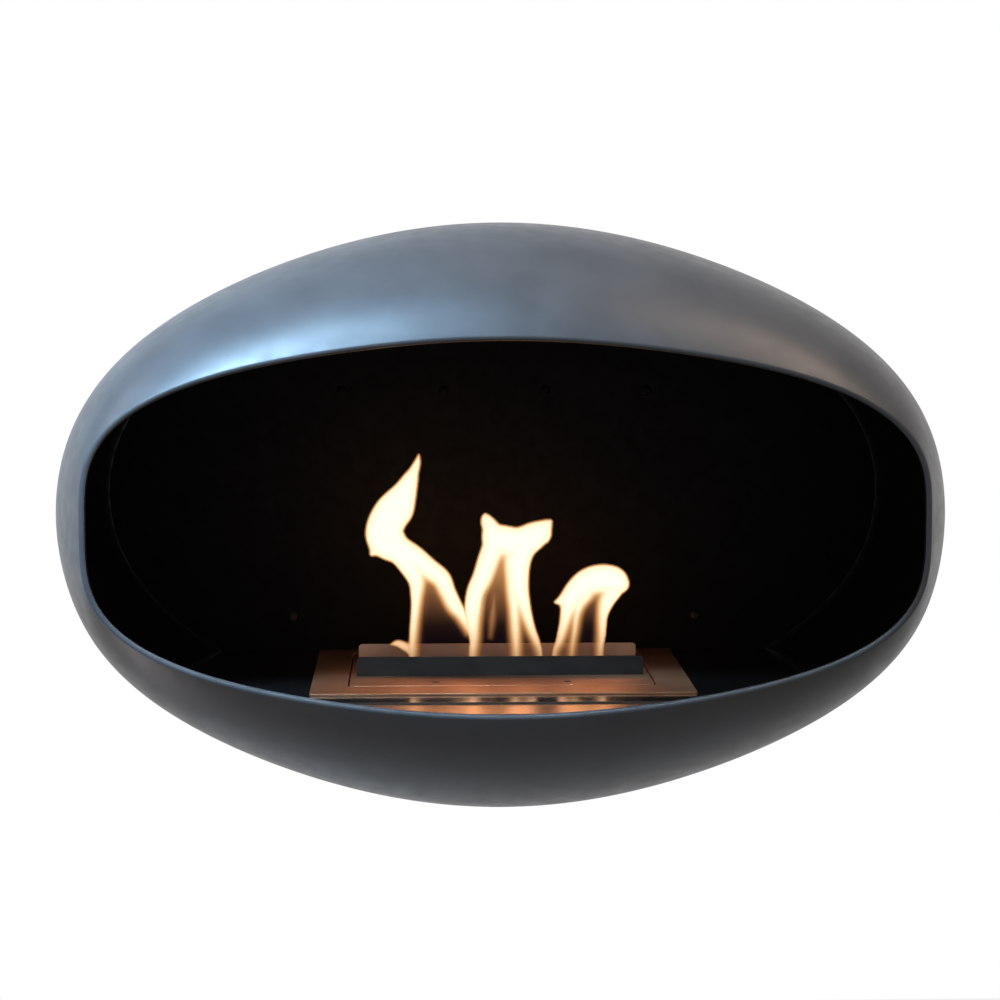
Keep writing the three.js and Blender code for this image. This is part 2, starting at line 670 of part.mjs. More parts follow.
// Top plate of the burner: flame slot, screw holes and slits for the guards' tabs.
function makeBurnerPlate() {
  const shape = roundedShape(0, BURNER_MIDDLE, BURNER_WIDTH, BURNER_DEPTH, TRAY_CORNER);
  shape.holes.push(roundedHole(0, SLOT_MIDDLE, SLOT_WIDTH, SLOT_DEPTH, 3));
  let plate = levelSheet(shape, BURNER_BOTTOM, BURNER_THICKNESS);
  const half = TAB.width / 2 + HOLE;
  for (const front of [GUARD_FRONT, REAR_GUARD_FACE]) {
    for (const x of tabPlaces()) {
      const low = [x - half, front - HOLE, BURNER_BOTTOM - 1];
      const high = [x + half, front + GUARD_THICKNESS + HOLE, TRAY_TOP + 1];
      plate = plate.subtract(block(low, high));
    }
  }
  for (const [x, y] of burnerScrewPlaces()) {
    plate = plate.subtract(countersink(BURNER_SCREW, x, y, TRAY_TOP, BURNER_THICKNESS));
  }
  add('burner_plate', plate, STAINLESS);
}

// Folded and welded fuel tank, hung from the top plate by its inward flange.
function makeTank() {
  const outline = (inset) => roundedShape(0, BURNER_MIDDLE, TANK_WIDTH - 2 * inset,
    TANK_DEPTH - 2 * inset, TANK_CORNER - Math.min(inset, TANK_CORNER / 2));
  const bottom = TANK_TOP - TANK_HEIGHT;
  let tank = levelSheet(outline(0), bottom, TANK_HEIGHT);
  tank = tank.subtract(levelSheet(outline(TANK_WALL), TANK_FLOOR, TANK_HEIGHT - 2 * TANK_WALL));
  tank = tank.subtract(levelSheet(outline(TANK_FLANGE), TANK_FLOOR, TANK_HEIGHT));
  for (const [x, y] of burnerScrewPlaces()) {
    const drill = rod(BURNER_SCREW.shank + HOLE, TANK_TOP - 5, TANK_TOP + 1);
    tank = tank.subtract(drill.translate([x, y, 0]));
  }
  add('fuel_tank', tank, STAINLESS);
}

function makeGasket() {
  const edge = 1;
  const shape = roundedShape(0, BURNER_MIDDLE, TANK_WIDTH - 2 * edge, TANK_DEPTH - 2 * edge,
    TANK_CORNER - edge);
  shape.holes.push(roundedHole(0, BURNER_MIDDLE, TANK_WIDTH - 2 * TANK_FLANGE,
    TANK_DEPTH - 2 * TANK_FLANGE, TANK_CORNER / 2));
  let gasket = levelSheet(shape, TANK_TOP + SEAT, GASKET_THICKNESS);
  for (const [x, y] of burnerScrewPlaces()) {
    const drill = rod(BURNER_SCREW.shank + HOLE, TANK_TOP - 1, TRAY_TOP);
    gasket = gasket.subtract(drill.translate([x, y, 0]));
  }
  add('tank_gasket', gasket, GASKET);
}

// Ceramic wool fills the tank and holds the fuel; a slotted grille keeps it down.
function makeWool() {
  const inset = TANK_WALL + WOOL_GAP;
  const shape = roundedShape(0, BURNER_MIDDLE, TANK_WIDTH - 2 * inset, TANK_DEPTH - 2 * inset,
    TANK_CORNER - inset);
  const bottom = TANK_FLOOR + SEAT;
  add('ceramic_wool', levelSheet(shape, bottom, WOOL_TOP - bottom), WOOL);
}

function makeGrille() {
  const { thickness, lap, depth, slots, slot, border } = GRILLE;
  const width = SLOT_WIDTH + 2 * lap;
  const shape = roundedShape(0, SLOT_MIDDLE, width, depth, 2);
  const pitch = (width - 2 * border) / slots;
  for (let i = 0; i < slots; i += 1) {
    const x = (i - (slots - 1) / 2) * pitch;
    shape.holes.push(roundedHole(x, SLOT_MIDDLE, slot, depth - 2 * border, slot / 4));
  }
  add('wool_grille', levelSheet(shape, WOOL_TOP + SEAT, thickness, 1), DARK_STEEL);
}

function makeBurnerScrews() {
  burnerScrewPlaces().forEach(([x, y], i) => {
    add(`burner_screw_${i + 1}`, countersunkScrew(BURNER_SCREW, x, y, TRAY_TOP), DARK_STEEL);
  });
}

// ---- flame guards and lid -----------------------------------------------------------------

// Upright guard with rounded top corners and three tabs through the top plate.
function makeGuard(name, back) {
  const shape = new THREE.Shape();
  const half = GUARD_WIDTH / 2;
  const top = TRAY_TOP + GUARD_HEIGHT;
  const foot = TRAY_TOP + SEAT;
  shape.moveTo(half, foot);
  shape.lineTo(half, top - GUARD_CORNER);
  shape.absarc(half - GUARD_CORNER, top - GUARD_CORNER, GUARD_CORNER, 0, Math.PI / 2);
  shape.absarc(-half + GUARD_CORNER, top - GUARD_CORNER, GUARD_CORNER, Math.PI / 2, Math.PI);
  shape.lineTo(-half, foot);
  for (const x of tabPlaces()) {
    shape.lineTo(x - TAB.width / 2, foot);
    shape.lineTo(x - TAB.width / 2, TRAY_TOP - TAB.drop);
    shape.lineTo(x + TAB.width / 2, TRAY_TOP - TAB.drop);
    shape.lineTo(x + TAB.width / 2, foot);
  }
  add(name, uprightSheet(shape, back, GUARD_THICKNESS), DARK_STEEL);
}

// Clips at the slot's ends: the lid's ends run under them.
function makeLidGuides() {
  const inner = LID_WIDTH / 2 + LID_CLEARANCE;
  const under = SEAT + LID_THICKNESS + LID_CLEARANCE;
  const top = under + GUIDE.thickness;
  const length = GUARD_CLEAR - 2 * WELD;
  const section = [[inner, SEAT], [inner + GUIDE.foot, SEAT], [inner + GUIDE.foot, top],
    [inner - GUIDE.cover, top], [inner - GUIDE.cover, under], [inner, under]];
  for (const [name, side] of [['left', -1], ['right', 1]]) {
    const shape = new THREE.Shape(section.map(([x, z]) => new THREE.Vector2(side * x, z)));
    const guide = uprightSheet(shape, REAR_GUARD_FACE - WELD, length);
    add(`lid_guide_${name}`, guide.translate([0, 0, TRAY_TOP]), DARK_STEEL);
  }
}

// Lid that slides over the slot to put the flames out, with a riveted pull for the hook.
function makeLid() {
  const bottom = TRAY_TOP + SEAT;
  const shape = roundedShape(0, LID_MIDDLE, LID_WIDTH, LID_DEPTH, 1.5);
  let lid = levelSheet(shape, bottom, LID_THICKNESS);
  const top = bottom + LID_THICKNESS + SEAT;
  const half = PULL.width / 2;
  const footEdge = LID_MIDDLE - PULL.foot;
  const tab = roundedShape(0, top + PULL.height / 2, PULL.width, PULL.height, 2);
  tab.holes.push(roundedHole(0, top + PULL.height - 6, 2 * PULL.hole, 2 * PULL.hole, PULL.hole - 0.01));
  let pull = uprightSheet(tab, LID_MIDDLE, PULL.thickness);
  pull = pull.add(block([-half, footEdge, top], [half, LID_MIDDLE, top + PULL.thickness]));
  const grip = PULL.thickness + LID_THICKNESS + 2 * SEAT;
  const { shank, head, rise, spacing } = PULL_RIVET;
  const rivetY = LID_MIDDLE - PULL.foot / 2 - PULL.thickness / 2;
  [-1, 1].forEach((side, i) => {
    const place = [side * spacing / 2, rivetY, 0];
    const drill = rod(shank + HOLE, bottom - 1, top + 5).translate(place);
    lid = lid.subtract(drill);
    pull = pull.subtract(drill);
    const profile = [[0, -grip], [shank, -grip], [shank, 0], [head, 0], [head, rise * 0.5],
      [head * 0.6, rise], [0, rise]];
    const rivet = turned(profile).translate([place[0], rivetY, top + PULL.thickness + SEAT]);
    add(`pull_rivet_${i + 1}`, rivet, ZINC);
  });
  add('lid_plate', lid, STAINLESS);
  add('lid_pull', pull, STAINLESS);
}

const inside = insideSkin(WELD);
makeShell();
makeBackFrame(inside);
makeBackPanel();
makePanelScrews();
makeWallPlate();
makeHookRail();
makeRailRivets();
makeBuffers();
makeHearthPlate(inside);
makeSill(inside);
makeLedges(inside);
makeHearthScrews();
makeTray();
makeBurnerPlate();
makeTank();
makeGasket();
makeWool();
makeGrille();
makeBurnerScrews();
makeGuard('front_guard', GUARD_REAR_FACE);
makeGuard('rear_guard', REAR_GUARD_FACE + GUARD_THICKNESS);
makeLidGuides();
makeLid();

export default fireplace;
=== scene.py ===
"""Looks of a wall-hung bioethanol fireplace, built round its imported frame.

Metres, +Z up. The viewer stands on the -Y side and the wall is the plane y = 0.
"""

import math

import bmesh
import bpy
import numpy as np
from mathutils import Matrix, Vector
from mathutils.geometry import tessellate_polygon


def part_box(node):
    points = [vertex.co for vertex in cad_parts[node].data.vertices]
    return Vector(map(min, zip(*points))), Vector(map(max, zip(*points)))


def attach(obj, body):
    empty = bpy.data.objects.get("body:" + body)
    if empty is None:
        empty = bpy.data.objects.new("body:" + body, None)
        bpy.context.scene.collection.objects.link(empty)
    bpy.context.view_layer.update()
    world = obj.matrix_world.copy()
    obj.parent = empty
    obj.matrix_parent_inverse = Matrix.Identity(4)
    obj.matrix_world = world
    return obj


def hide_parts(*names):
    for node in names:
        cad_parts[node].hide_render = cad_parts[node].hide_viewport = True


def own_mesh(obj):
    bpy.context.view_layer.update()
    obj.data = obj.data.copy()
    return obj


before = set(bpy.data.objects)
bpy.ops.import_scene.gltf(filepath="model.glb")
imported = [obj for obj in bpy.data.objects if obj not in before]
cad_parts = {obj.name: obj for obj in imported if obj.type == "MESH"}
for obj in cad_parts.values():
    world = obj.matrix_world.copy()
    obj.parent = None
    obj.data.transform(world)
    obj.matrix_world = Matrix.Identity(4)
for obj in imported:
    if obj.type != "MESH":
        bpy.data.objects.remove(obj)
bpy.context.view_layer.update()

# ---- Studio -------------------------------------------------------------------------------
# Not part of the fireplace. It hangs clear of a pale floor in a white room, under a cool
# window and the sky high on the left, a broad strip above and a warm lamp high on the right,
# with a faint fill low on the left.
FLOOR_LEVEL = -1.25
FLOOR_HALF = 2.2
FLOOR_PAINT = (0.18, 0.18, 0.18, 1)
FLOOR_ROUGHNESS = 0.9
FLOOR_GLOW = 0.86
ROOM_GREY = (0.07, 0.07, 0.072, 1)
ROOM_WHITE = (1, 1, 1, 1)
# Each lamp's name, place, aim, width, height, watts, colour, and beam in degrees.
LAMPS = [
    ("window_left", (-0.95, -1.60, 2.14), (-0.44, -0.38, 0.14), 0.6, 0.4, 13.5,
     (0.42, 0.70, 1.0), 32),
    ("sky_left", (-2.4, -0.15, 1.9), (-0.45, -0.2, 0.1), 0.9, 0.9, 4.0, (0.80, 0.86, 1.0), 60),
    ("strip_above", (0.0, -0.1, 2.7), (0.0, -0.2, 0.2), 2.0, 1.0, 10, (1.0, 0.92, 0.88), 180),
    ("fill_low_left", (-1.1, -0.32, -1.05), (-0.46, -0.28, -0.08), 0.9, 0.5, 0.6,
     (1.0, 0.90, 0.94), 44),
    ("fill_right", (1.2, -1.0, 2.1), (0.25, -0.3, 0.1), 0.9, 0.9, 6.2, (1.0, 0.76, 0.58), 70),
]

scene = bpy.context.scene
scene.view_settings.view_transform = "Standard"


def feed(node, inputs):
    """Sets a node's inputs, each to a value or from the output of another node."""
    for name, value in inputs.items():
        if isinstance(value, bpy.types.NodeSocket):
            node.id_data.links.new(value, node.inputs[name])
        else:
            node.inputs[name].default_value = value


def add_node(tree, kind, inputs):
    """A new shader node with its inputs set."""
    node = tree.nodes.new("ShaderNode" + kind)
    feed(node, inputs)
    return node


def new_finish(name, metallic=0.0, specular=0.5, anisotropic=0.0):
    """A new material and its shader."""
    material = bpy.data.materials.new(name)
    material.use_nodes = True
    shader = material.node_tree.nodes["Principled BSDF"]
    feed(shader, {"Metallic": metallic, "Specular IOR Level": specular,
                  "Anisotropic": anisotropic})
    return material, shader


def background_rays(tree):
    """1 where the surface is seen, reflected or looked through to; 0 as a source of light."""
    path = add_node(tree, "LightPath", {})
    seen = path.outputs["Is Camera Ray"]
    for ray in ("Is Glossy Ray", "Is Transmission Ray"):
        both = add_node(tree, "Math", {0: seen, 1: path.outputs[ray]})
        both.operation = "MAXIMUM"
        seen = both.outputs["Value"]
    return seen


def white_room():
    """The world: white to the eye and in reflections, a dim grey as a source of light."""
    world = bpy.data.worlds.new("white_room")
    scene.world = world
    world.use_nodes = True
    tree = world.node_tree
    light = tree.nodes["Background"]
    feed(light, {"Color": ROOM_GREY})
    white = add_node(tree, "Background", {"Color": ROOM_WHITE})
    shown = add_node(tree, "MixShader", {"Fac": background_rays(tree),
                                         1: light.outputs["Background"],
                                         2: white.outputs["Background"]})
    feed(tree.nodes["World Output"], {"Surface": shown.outputs["Shader"]})


def pale_floor():
    """A matt floor that looks white, and keeps the shadow of what hangs over it."""
    mesh = bpy.data.meshes.new("pale_floor")
    corners = [(-1, -1), (1, -1), (1, 1), (-1, 1)]
    mesh.from_pydata([(x * FLOOR_HALF, y * FLOOR_HALF, FLOOR_LEVEL) for x, y in corners],
                     [], [(0, 1, 2, 3)])
    floor = bpy.data.objects.new("pale_floor", mesh)
    scene.collection.objects.link(floor)
    material, shader = new_finish("pale_floor", specular=0.0)
    feed(shader, {"Base Color": FLOOR_PAINT, "Roughness": FLOOR_ROUGHNESS})
    tree = material.node_tree
    strength = add_node(tree, "Math", {0: background_rays(tree), 1: FLOOR_GLOW})
    strength.operation = "MULTIPLY"
    glow = add_node(tree, "Emission", {"Strength": strength.outputs["Value"]})
    total = add_node(tree, "AddShader", {0: shader.outputs["BSDF"], 1: glow.outputs["Emission"]})
    feed(tree.nodes["Material Output"], {"Surface": total.outputs["Shader"]})
    mesh.materials.append(material)


def soft_lamp(name, place, aim, width, height, watts, colour, beam):
    """A rectangular soft box at a place, turned to shine at the aim in a beam that wide."""
    data = bpy.data.lights.new(name, "AREA")
    data.shape = "RECTANGLE"
    data.size = width
    data.size_y = height
    data.energy = watts
    data.color = colour
    data.spread = math.radians(beam)
    lamp = bpy.data.objects.new(name, data)
    lamp.location = place
    lamp.rotation_euler = (Vector(aim) - Vector(place)).to_track_quat("-Z", "Y").to_euler()
    scene.collection.objects.link(lamp)


white_room()
pale_floor()
for lamp in LAMPS:
    soft_lamp(*lamp)

# ---- Camera -------------------------------------------------------------------------------
# Not part of the fireplace. The photographer stood in front, a little to the left and a
# little above its middle, with a long lens.
CAMERA_DISTANCE = 2.5
CAMERA_LEFT = math.radians(2.0)
CAMERA_ABOVE = math.radians(5.55)
CAMERA_TARGET = Vector((0.0003, -0.190, 0.01315))
CAMERA_SENSOR = 36
CAMERA_LENS = 88.34
CAMERA_NEAR, CAMERA_FAR = 0.05, 50

camera_data = bpy.data.cameras.new("camera")
camera_data.sensor_width = CAMERA_SENSOR
camera_data.lens = CAMERA_LENS
camera_data.clip_start = CAMERA_NEAR
camera_data.clip_end = CAMERA_FAR
camera = bpy.data.objects.new("camera", camera_data)
scene.collection.objects.link(camera)
camera_back = Vector((-math.sin(CAMERA_LEFT) * math.cos(CAMERA_ABOVE),
                      -math.cos(CAMERA_LEFT) * math.cos(CAMERA_ABOVE),
                      math.sin(CAMERA_ABOVE)))
camera_turn = camera_back.to_track_quat("Z", "Y").to_matrix().to_4x4()
camera_place = Matrix.Translation(CAMERA_TARGET + CAMERA_DISTANCE * camera_back)
camera.matrix_world = camera_place @ camera_turn
scene.camera = camera

# ---- Shell --------------------------------------------------------------------------------
# The cocoon: two deep-drawn steel skins welded round their widest section and dressed
# smooth, with the mouth edge rolled over a wire. Satin gunmetal stoving paint outside,
# black heat-proof paint inside.
SHELL_HALF_WIDTH = 0.444
SHELL_HALF_HEIGHT = 0.294
SHELL_WALL = 0.003
WIDEST_Y = -0.190
MOUTH_Y = -0.409
REAR_Y = -0.002
MOUTH_HALF = (0.3975, 0.180)
MOUTH_RISE = 0.007
BACK_HALF = (0.411, 0.229)
BOW_POWER_X = 2.04
BOW_POWER_Z = 2.6
CORNER_SWELL = (-0.01, 0.066)  # at the widest section, at the mouth
FLANK_SWELL = (0.017, 0.055)
FLANK_RISE = (0.0065, 0.0015)
BEAD_RADIUS = 0.0035
BEAD_TURN = 1.25 * math.pi
BEAD_PAINTED = math.radians(118)  # how far round the bead the outer paint goes
SHELL_AROUND = 288
SHELL_FRONT_STEPS = 44
SHELL_BACK_STEPS = 28
BEAD_STEPS = 18
SHELL_CREASE = 50  # degrees: a sharper turn than this is shown as an edge
SKIN_STEP = 0.00005  # how far apart the skin is measured for its slope, along and around
SKIN_TURN = 0.001
GRAIN_RANGE = (0.3, 0.7)  # the values that most of a grain has
GUNMETAL_DARK, GUNMETAL_LIGHT = (0.034, 0.034, 0.036), (0.048, 0.048, 0.050)
CHAMBER_DARK, CHAMBER_LIGHT = (0.0024, 0.0024, 0.0026), (0.0040, 0.0039, 0.0039)


def grain(shader, size, detail, stretch=(1, 1, 1)):
    """Cloudy grain whose lumps measure about size, drawn out along the stretched axes."""
    tree = shader.id_data
    place = add_node(tree, "TexCoord", {})
    scale = add_node(tree, "Mapping", {"Vector": place.outputs["Object"],
                                       "Scale": [1 / (size * s) for s in stretch]})
    noise = add_node(tree, "TexNoise", {"Vector": scale.outputs["Vector"], "Scale": 1.0,
                                        "Detail": detail})
    return noise.outputs["Fac"]


def tint(shader, factor, dark, light):
    """Colours the finish between dark and light by a grain."""
    ramp = add_node(shader.id_data, "ValToRGB", {"Fac": factor})
    for stop, position, colour in zip(ramp.color_ramp.elements, GRAIN_RANGE, (dark, light)):
        stop.position = position
        stop.color = (*colour, 1)
    feed(shader, {"Base Color": ramp.outputs["Color"]})


def sheen(shader, factor, low, high):
    """Roughens the finish between low and high by a grain."""
    start, end = GRAIN_RANGE
    ranged = add_node(shader.id_data, "MapRange", {"Value": factor, "From Min": start,
                                                   "From Max": end, "To Min": low,
                                                   "To Max": high})
    feed(shader, {"Roughness": ranged.outputs["Result"]})


def relief(shader, factor, depth, strength):
    """Raises a grain as bumps of that depth, over any relief that the finish has already."""
    bump = add_node(shader.id_data, "Bump", {"Height": factor, "Distance": depth,
                                             "Strength": strength})
    if shader.inputs["Normal"].links:
        feed(bump, {"Normal": shader.inputs["Normal"].links[0].from_socket})
    feed(shader, {"Normal": bump.outputs["Normal"]})


def gunmetal_paint():
    """Satin stoving paint: faint clouds, a scuffed sheen and a fine orange peel."""
    material, shader = new_finish("gunmetal_paint", specular=0.26)
    tint(shader, grain(shader, 0.05, 5), GUNMETAL_DARK, GUNMETAL_LIGHT)
    sheen(shader, grain(shader, 0.018, 8), 0.36, 0.45)
    relief(shader, grain(shader, 0.09, 1), 0.0006, 0.4)
    relief(shader, grain(shader, 0.0014, 2), 0.00006, 0.5)
    return material


def chamber_paint():
    """Matt black heat-proof paint with a fine dry grain."""
    material, shader = new_finish("chamber_paint", specular=0.05)
    tint(shader, grain(shader, 0.035, 6), CHAMBER_DARK, CHAMBER_LIGHT)
    sheen(shader, grain(shader, 0.01, 4), 0.5, 0.68)
    relief(shader, grain(shader, 0.0011, 3), 0.00008, 0.5)
    return material


def mix(low, high, share):
    return low + (high - low) * share


def bowed(half, edge_half, reach, power, distance):
    """Half size of the bowed form at a distance from its widest section."""
    drop = 1 - (edge_half / half) ** power
    return half * (1 - drop * (distance / reach) ** power) ** (1 / power)


def skin(y, t):
    """Outer skin at depth y, for an array of angles t that start at the right flank."""
    front = y < WIDEST_Y
    distance = abs(y - WIDEST_Y)
    reach = WIDEST_Y - MOUTH_Y if front else REAR_Y - WIDEST_Y
    edge_x, edge_z = MOUTH_HALF if front else BACK_HALF
    half_x = bowed(SHELL_HALF_WIDTH, edge_x, reach, BOW_POWER_X, distance)
    half_z = bowed(SHELL_HALF_HEIGHT, edge_z, reach, BOW_POWER_Z, distance)
    blend = (distance / reach) ** 2 if front else 0
    corner = mix(*CORNER_SWELL, blend)
    flank = mix(*FLANK_SWELL, blend)
    swell = 1 + np.sin(2 * t) ** 2 * (corner + flank * np.cos(2 * t))
    x = half_x * swell * np.cos(t)
    z = half_z * swell * np.sin(t) + MOUTH_RISE * blend + mix(*FLANK_RISE, blend) * np.cos(t) ** 2
    return np.stack([x, np.full_like(t, y), z], axis=1)


def unit(vectors):
    return vectors / np.linalg.norm(vectors, axis=1, keepdims=True)


def skin_frame(y, t):
    """Outward normals, and directions along the skin toward the mouth."""
    forward = unit(skin(max(y - SKIN_STEP, MOUTH_Y), t) - skin(min(y + SKIN_STEP, REAR_Y), t))
    around = unit(skin(y, t + SKIN_TURN) - skin(y, t - SKIN_TURN))
    normal = unit(np.cross(around, forward))
    outward = normal[:, 0] * np.cos(t) + normal[:, 2] * np.sin(t)
    return normal * np.sign(outward)[:, None], forward


def skin_stations():
    """Depth stations, closer together where the skin turns most."""
    front = [WIDEST_Y - (WIDEST_Y - MOUTH_Y) * math.cos(i / SHELL_FRONT_STEPS * math.pi / 2)
             for i in range(SHELL_FRONT_STEPS + 1)]
    back = [WIDEST_Y + (REAR_Y - WIDEST_Y) * math.sin(i / SHELL_BACK_STEPS * math.pi / 2)
            for i in range(1, SHELL_BACK_STEPS + 1)]
    return front + back


def bead_ring(turn, t):
    """One line round the rolled bead, at an angle counted from the outer skin forward."""
    normal, forward = skin_frame(MOUTH_Y, t)
    middle = skin(MOUTH_Y, t) - BEAD_RADIUS * normal
    return middle + BEAD_RADIUS * (math.cos(turn) * normal + math.sin(turn) * forward)


def new_piece(name, points, faces, materials):
    """A smooth-shaded mesh object in the part's frame, with its faces turned outward."""
    mesh = bpy.data.meshes.new(name)
    mesh.from_pydata([tuple(p) for p in points], [], faces)
    turned_out = bmesh.new()
    turned_out.from_mesh(mesh)
    bmesh.ops.recalc_face_normals(turned_out, faces=turned_out.faces)
    turned_out.to_mesh(mesh)
    turned_out.free()
    for material in materials:
        mesh.materials.append(material)
    mesh.polygons.foreach_set("use_smooth", [True] * len(mesh.polygons))
    piece = bpy.data.objects.new(name, mesh)
    scene.collection.objects.link(piece)
    return piece


def crease(piece, degrees):
    """Shows the edges that turn more than that as sharp ones."""
    piece.data.set_sharp_from_angle(angle=math.radians(degrees))


def bands(rings, count, closed=False):
    """Faces between each ring of count points and the next."""
    faces = []
    for i in range(rings if closed else rings - 1):
        here, there = i * count, (i + 1) % rings * count
        for j in range(count):
            k = (j + 1) % count
            faces.append((here + j, here + k, there + k, there + j))
    return faces


def press_shell():
    """The pressed skin: outside, inside and rolled bead joined into one closed form."""
    t = np.arange(SHELL_AROUND) * 2 * math.pi / SHELL_AROUND
    stations = skin_stations()
    outer = [skin(y, t) for y in stations]
    inner = [skin(y, t) - SHELL_WALL * skin_frame(y, t)[0] for y in stations[1:]]
    bead = [bead_ring(i / BEAD_STEPS * BEAD_TURN, t) for i in range(1, BEAD_STEPS + 1)]
    rings = outer + inner[::-1] + bead[::-1]
    faces = bands(len(rings), SHELL_AROUND, closed=True)
    shell = new_piece("cocoon", np.concatenate(rings), faces, [gunmetal_paint(), chamber_paint()])
    black_bead = round(BEAD_STEPS * (1 - BEAD_PAINTED / BEAD_TURN))
    black = range(len(outer) * SHELL_AROUND,
                  (len(outer) + len(inner) + black_bead) * SHELL_AROUND)
    shell.data.polygons.foreach_set("material_index", [int(i in black) for i in range(len(faces))])
    crease(shell, SHELL_CREASE)
    return shell


cocoon = press_shell()
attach(cocoon, "stove")
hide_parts("shell")
chamber = cocoon.data.materials[1]

# ---- Back frame, back panel and their screws ----------------------------------------------
# A laser-cut steel ring welded inside the rear edge, and a flat steel panel screwed to it
# from the wall side. Both in the chamber's black; the screws are zinc-plated button heads
# whose tips were painted over with the chamber.
MM = 0.001
EASED_CUT = 0.0003
DRESS_JOIN = 0.00001  # corners of a CAD node this close are one corner
DRESS_CREASE = 50
TURNED_SIDES = 24
TURNED_CREASE = 35
HEX = True
# Rings of (radius, height) in mm, foot first; HEX marks those of a hexagonal socket.
PANEL_SCREW_RINGS = [(1.5, -9.1), (2, -8.6), (2, -2.5), (4.4, -2.5), (4.4, -1.3), (4.1, -0.7),
                     (3.4, -0.25), (2.6, -0.05), (1.6, 0, HEX), (1.5, -0.15, HEX),
                     (1.5, -1.5, HEX)]
PAINTED_THREAD = (0, 1, 2)
ZINC_DARK, ZINC_LIGHT = (0.42, 0.43, 0.44), (0.56, 0.56, 0.55)


def dress(node, material, eased=EASED_CUT):
    """Puts a finish on a CAD node that is shown as it is, and eases its cut edges."""
    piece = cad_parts[node]
    piece.data.materials.clear()
    piece.data.materials.append(material)
    weld = piece.modifiers.new("joined_corners", "WELD")
    weld.merge_threshold = DRESS_JOIN
    bevel = piece.modifiers.new("eased_edges", "BEVEL")
    bevel.width = eased
    bevel.segments = 2
    bevel.limit_method = "ANGLE"
    bevel.angle_limit = math.radians(DRESS_CREASE)
    piece.modifiers.new("even_shading", "WEIGHTED_NORMAL")


def ring_radii(radius, hexagonal):
    """Angles round a ring, and its radius at each: round, or hexagonal with those corners."""
    angles = np.arange(TURNED_SIDES) * 2 * math.pi / TURNED_SIDES
    if not hexagonal:
        return angles, np.full(TURNED_SIDES, radius * MM)
    corner = angles % (math.pi / 3) - math.pi / 6
    return angles, radius * MM * math.cos(math.pi / 6) / np.cos(corner)


def turned_piece(name, rings, place, materials, to_wall=False, second=()):
    """A screw, rivet or buffer from its rings.

    It stands on its foot, or lies with its top toward the wall. The second material goes on
    the bands that are numbered in second.
    """
    points = []
    for radius, height, *socket in rings:
        angles, radii = ring_radii(radius, bool(socket))
        across, along = radii * np.cos(angles), radii * np.sin(angles)
        rise = np.full(TURNED_SIDES, height * MM)
        points.append(np.stack([across, rise, along] if to_wall else [across, along, rise], axis=1))
    faces = bands(len(rings), TURNED_SIDES)
    owners = [i // TURNED_SIDES for i in range(len(faces))]
    last = (len(rings) - 1) * TURNED_SIDES
    faces += [tuple(range(TURNED_SIDES)), tuple(range(last, last + TURNED_SIDES))]
    owners += [0, len(rings) - 2]
    piece = new_piece(name, np.concatenate(points) + np.array(place), faces, materials)
    piece.data.polygons.foreach_set("material_index", [int(i in second) for i in owners])
    crease(piece, TURNED_CREASE)
    return piece


def middle_of(node, axis, level):
    """The middle of a node's box, with its y or z put at a given level."""
    low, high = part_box(node)
    place = [(a + b) / 2 for a, b in zip(low, high)]
    place["xyz".index(axis)] = level
    return place


def stand_for(piece, node, body):
    """A piece that is shown in a node's place, on its body."""
    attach(piece, body)
    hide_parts(node)


def zinc_plate():
    """Bright zinc with its cloudy passivation."""
    material, shader = new_finish("zinc_plate", metallic=1.0)
    tint(shader, grain(shader, 0.003, 4), ZINC_DARK, ZINC_LIGHT)
    sheen(shader, grain(shader, 0.001, 3), 0.28, 0.42)
    return material


zinc = zinc_plate()
dress("back_frame", chamber)
dress("back_panel", chamber)
for number in range(1, 9):
    node = f"panel_screw_{number}"
    screw = turned_piece(f"button_screw_{number}", PANEL_SCREW_RINGS,
                         middle_of(node, "y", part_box(node)[1][1]), [zinc, chamber],
                         to_wall=True, second=PAINTED_THREAD)
    stand_for(screw, node, "stove")

# ---- Wall plate, hook rail and buffers ----------------------------------------------------
# A stamped and folded 3 mm plate that is screwed to the wall; the rail riveted to the back
# panel hooks over its upturned lip, and two rubber buffers keep the lower edge off the wall.
RAIL_RIVET_RINGS = [(1.5, -1.8), (3.3, -1.6), (4.7, -1.05), (5.5, -0.35), (5.5, 0), (3, 0),
                    (3, 5.3), (5.5, 5.3), (5.5, 5.65), (4.7, 6.35), (3.3, 6.9), (1.5, 7.1)]
RAIL_RIVET_HEAD = 1.8
PAINTED_HEAD = range(5)
BUFFER_RINGS = [(2.4, -28.1), (5.2, -24.1), (4, -24.1), (4, -21.9), (14.5, -21.9), (15, -21.4),
                (15, -2.4), (14.8, -1.4), (14.2, -0.6), (13.3, -0.15), (12.5, 0), (9.5, 0),
                (9, -0.7), (7.6, -0.7), (7.1, 0), (3, 0)]
EASED_PLATE = 0.0005
POWDER_DARK, POWDER_LIGHT = (0.008, 0.008, 0.009), (0.014, 0.014, 0.015)
RUBBER_DARK, RUBBER_LIGHT = (0.011, 0.011, 0.011), (0.022, 0.022, 0.021)


def bracket_black():
    """Black powder coat: a fine pebbled skin."""
    material, shader = new_finish("bracket_black", specular=0.4)
    tint(shader, grain(shader, 0.02, 4), POWDER_DARK, POWDER_LIGHT)
    sheen(shader, grain(shader, 0.004, 3), 0.42, 0.6)
    relief(shader, grain(shader, 0.0009, 2), 0.00012, 0.6)
    return material


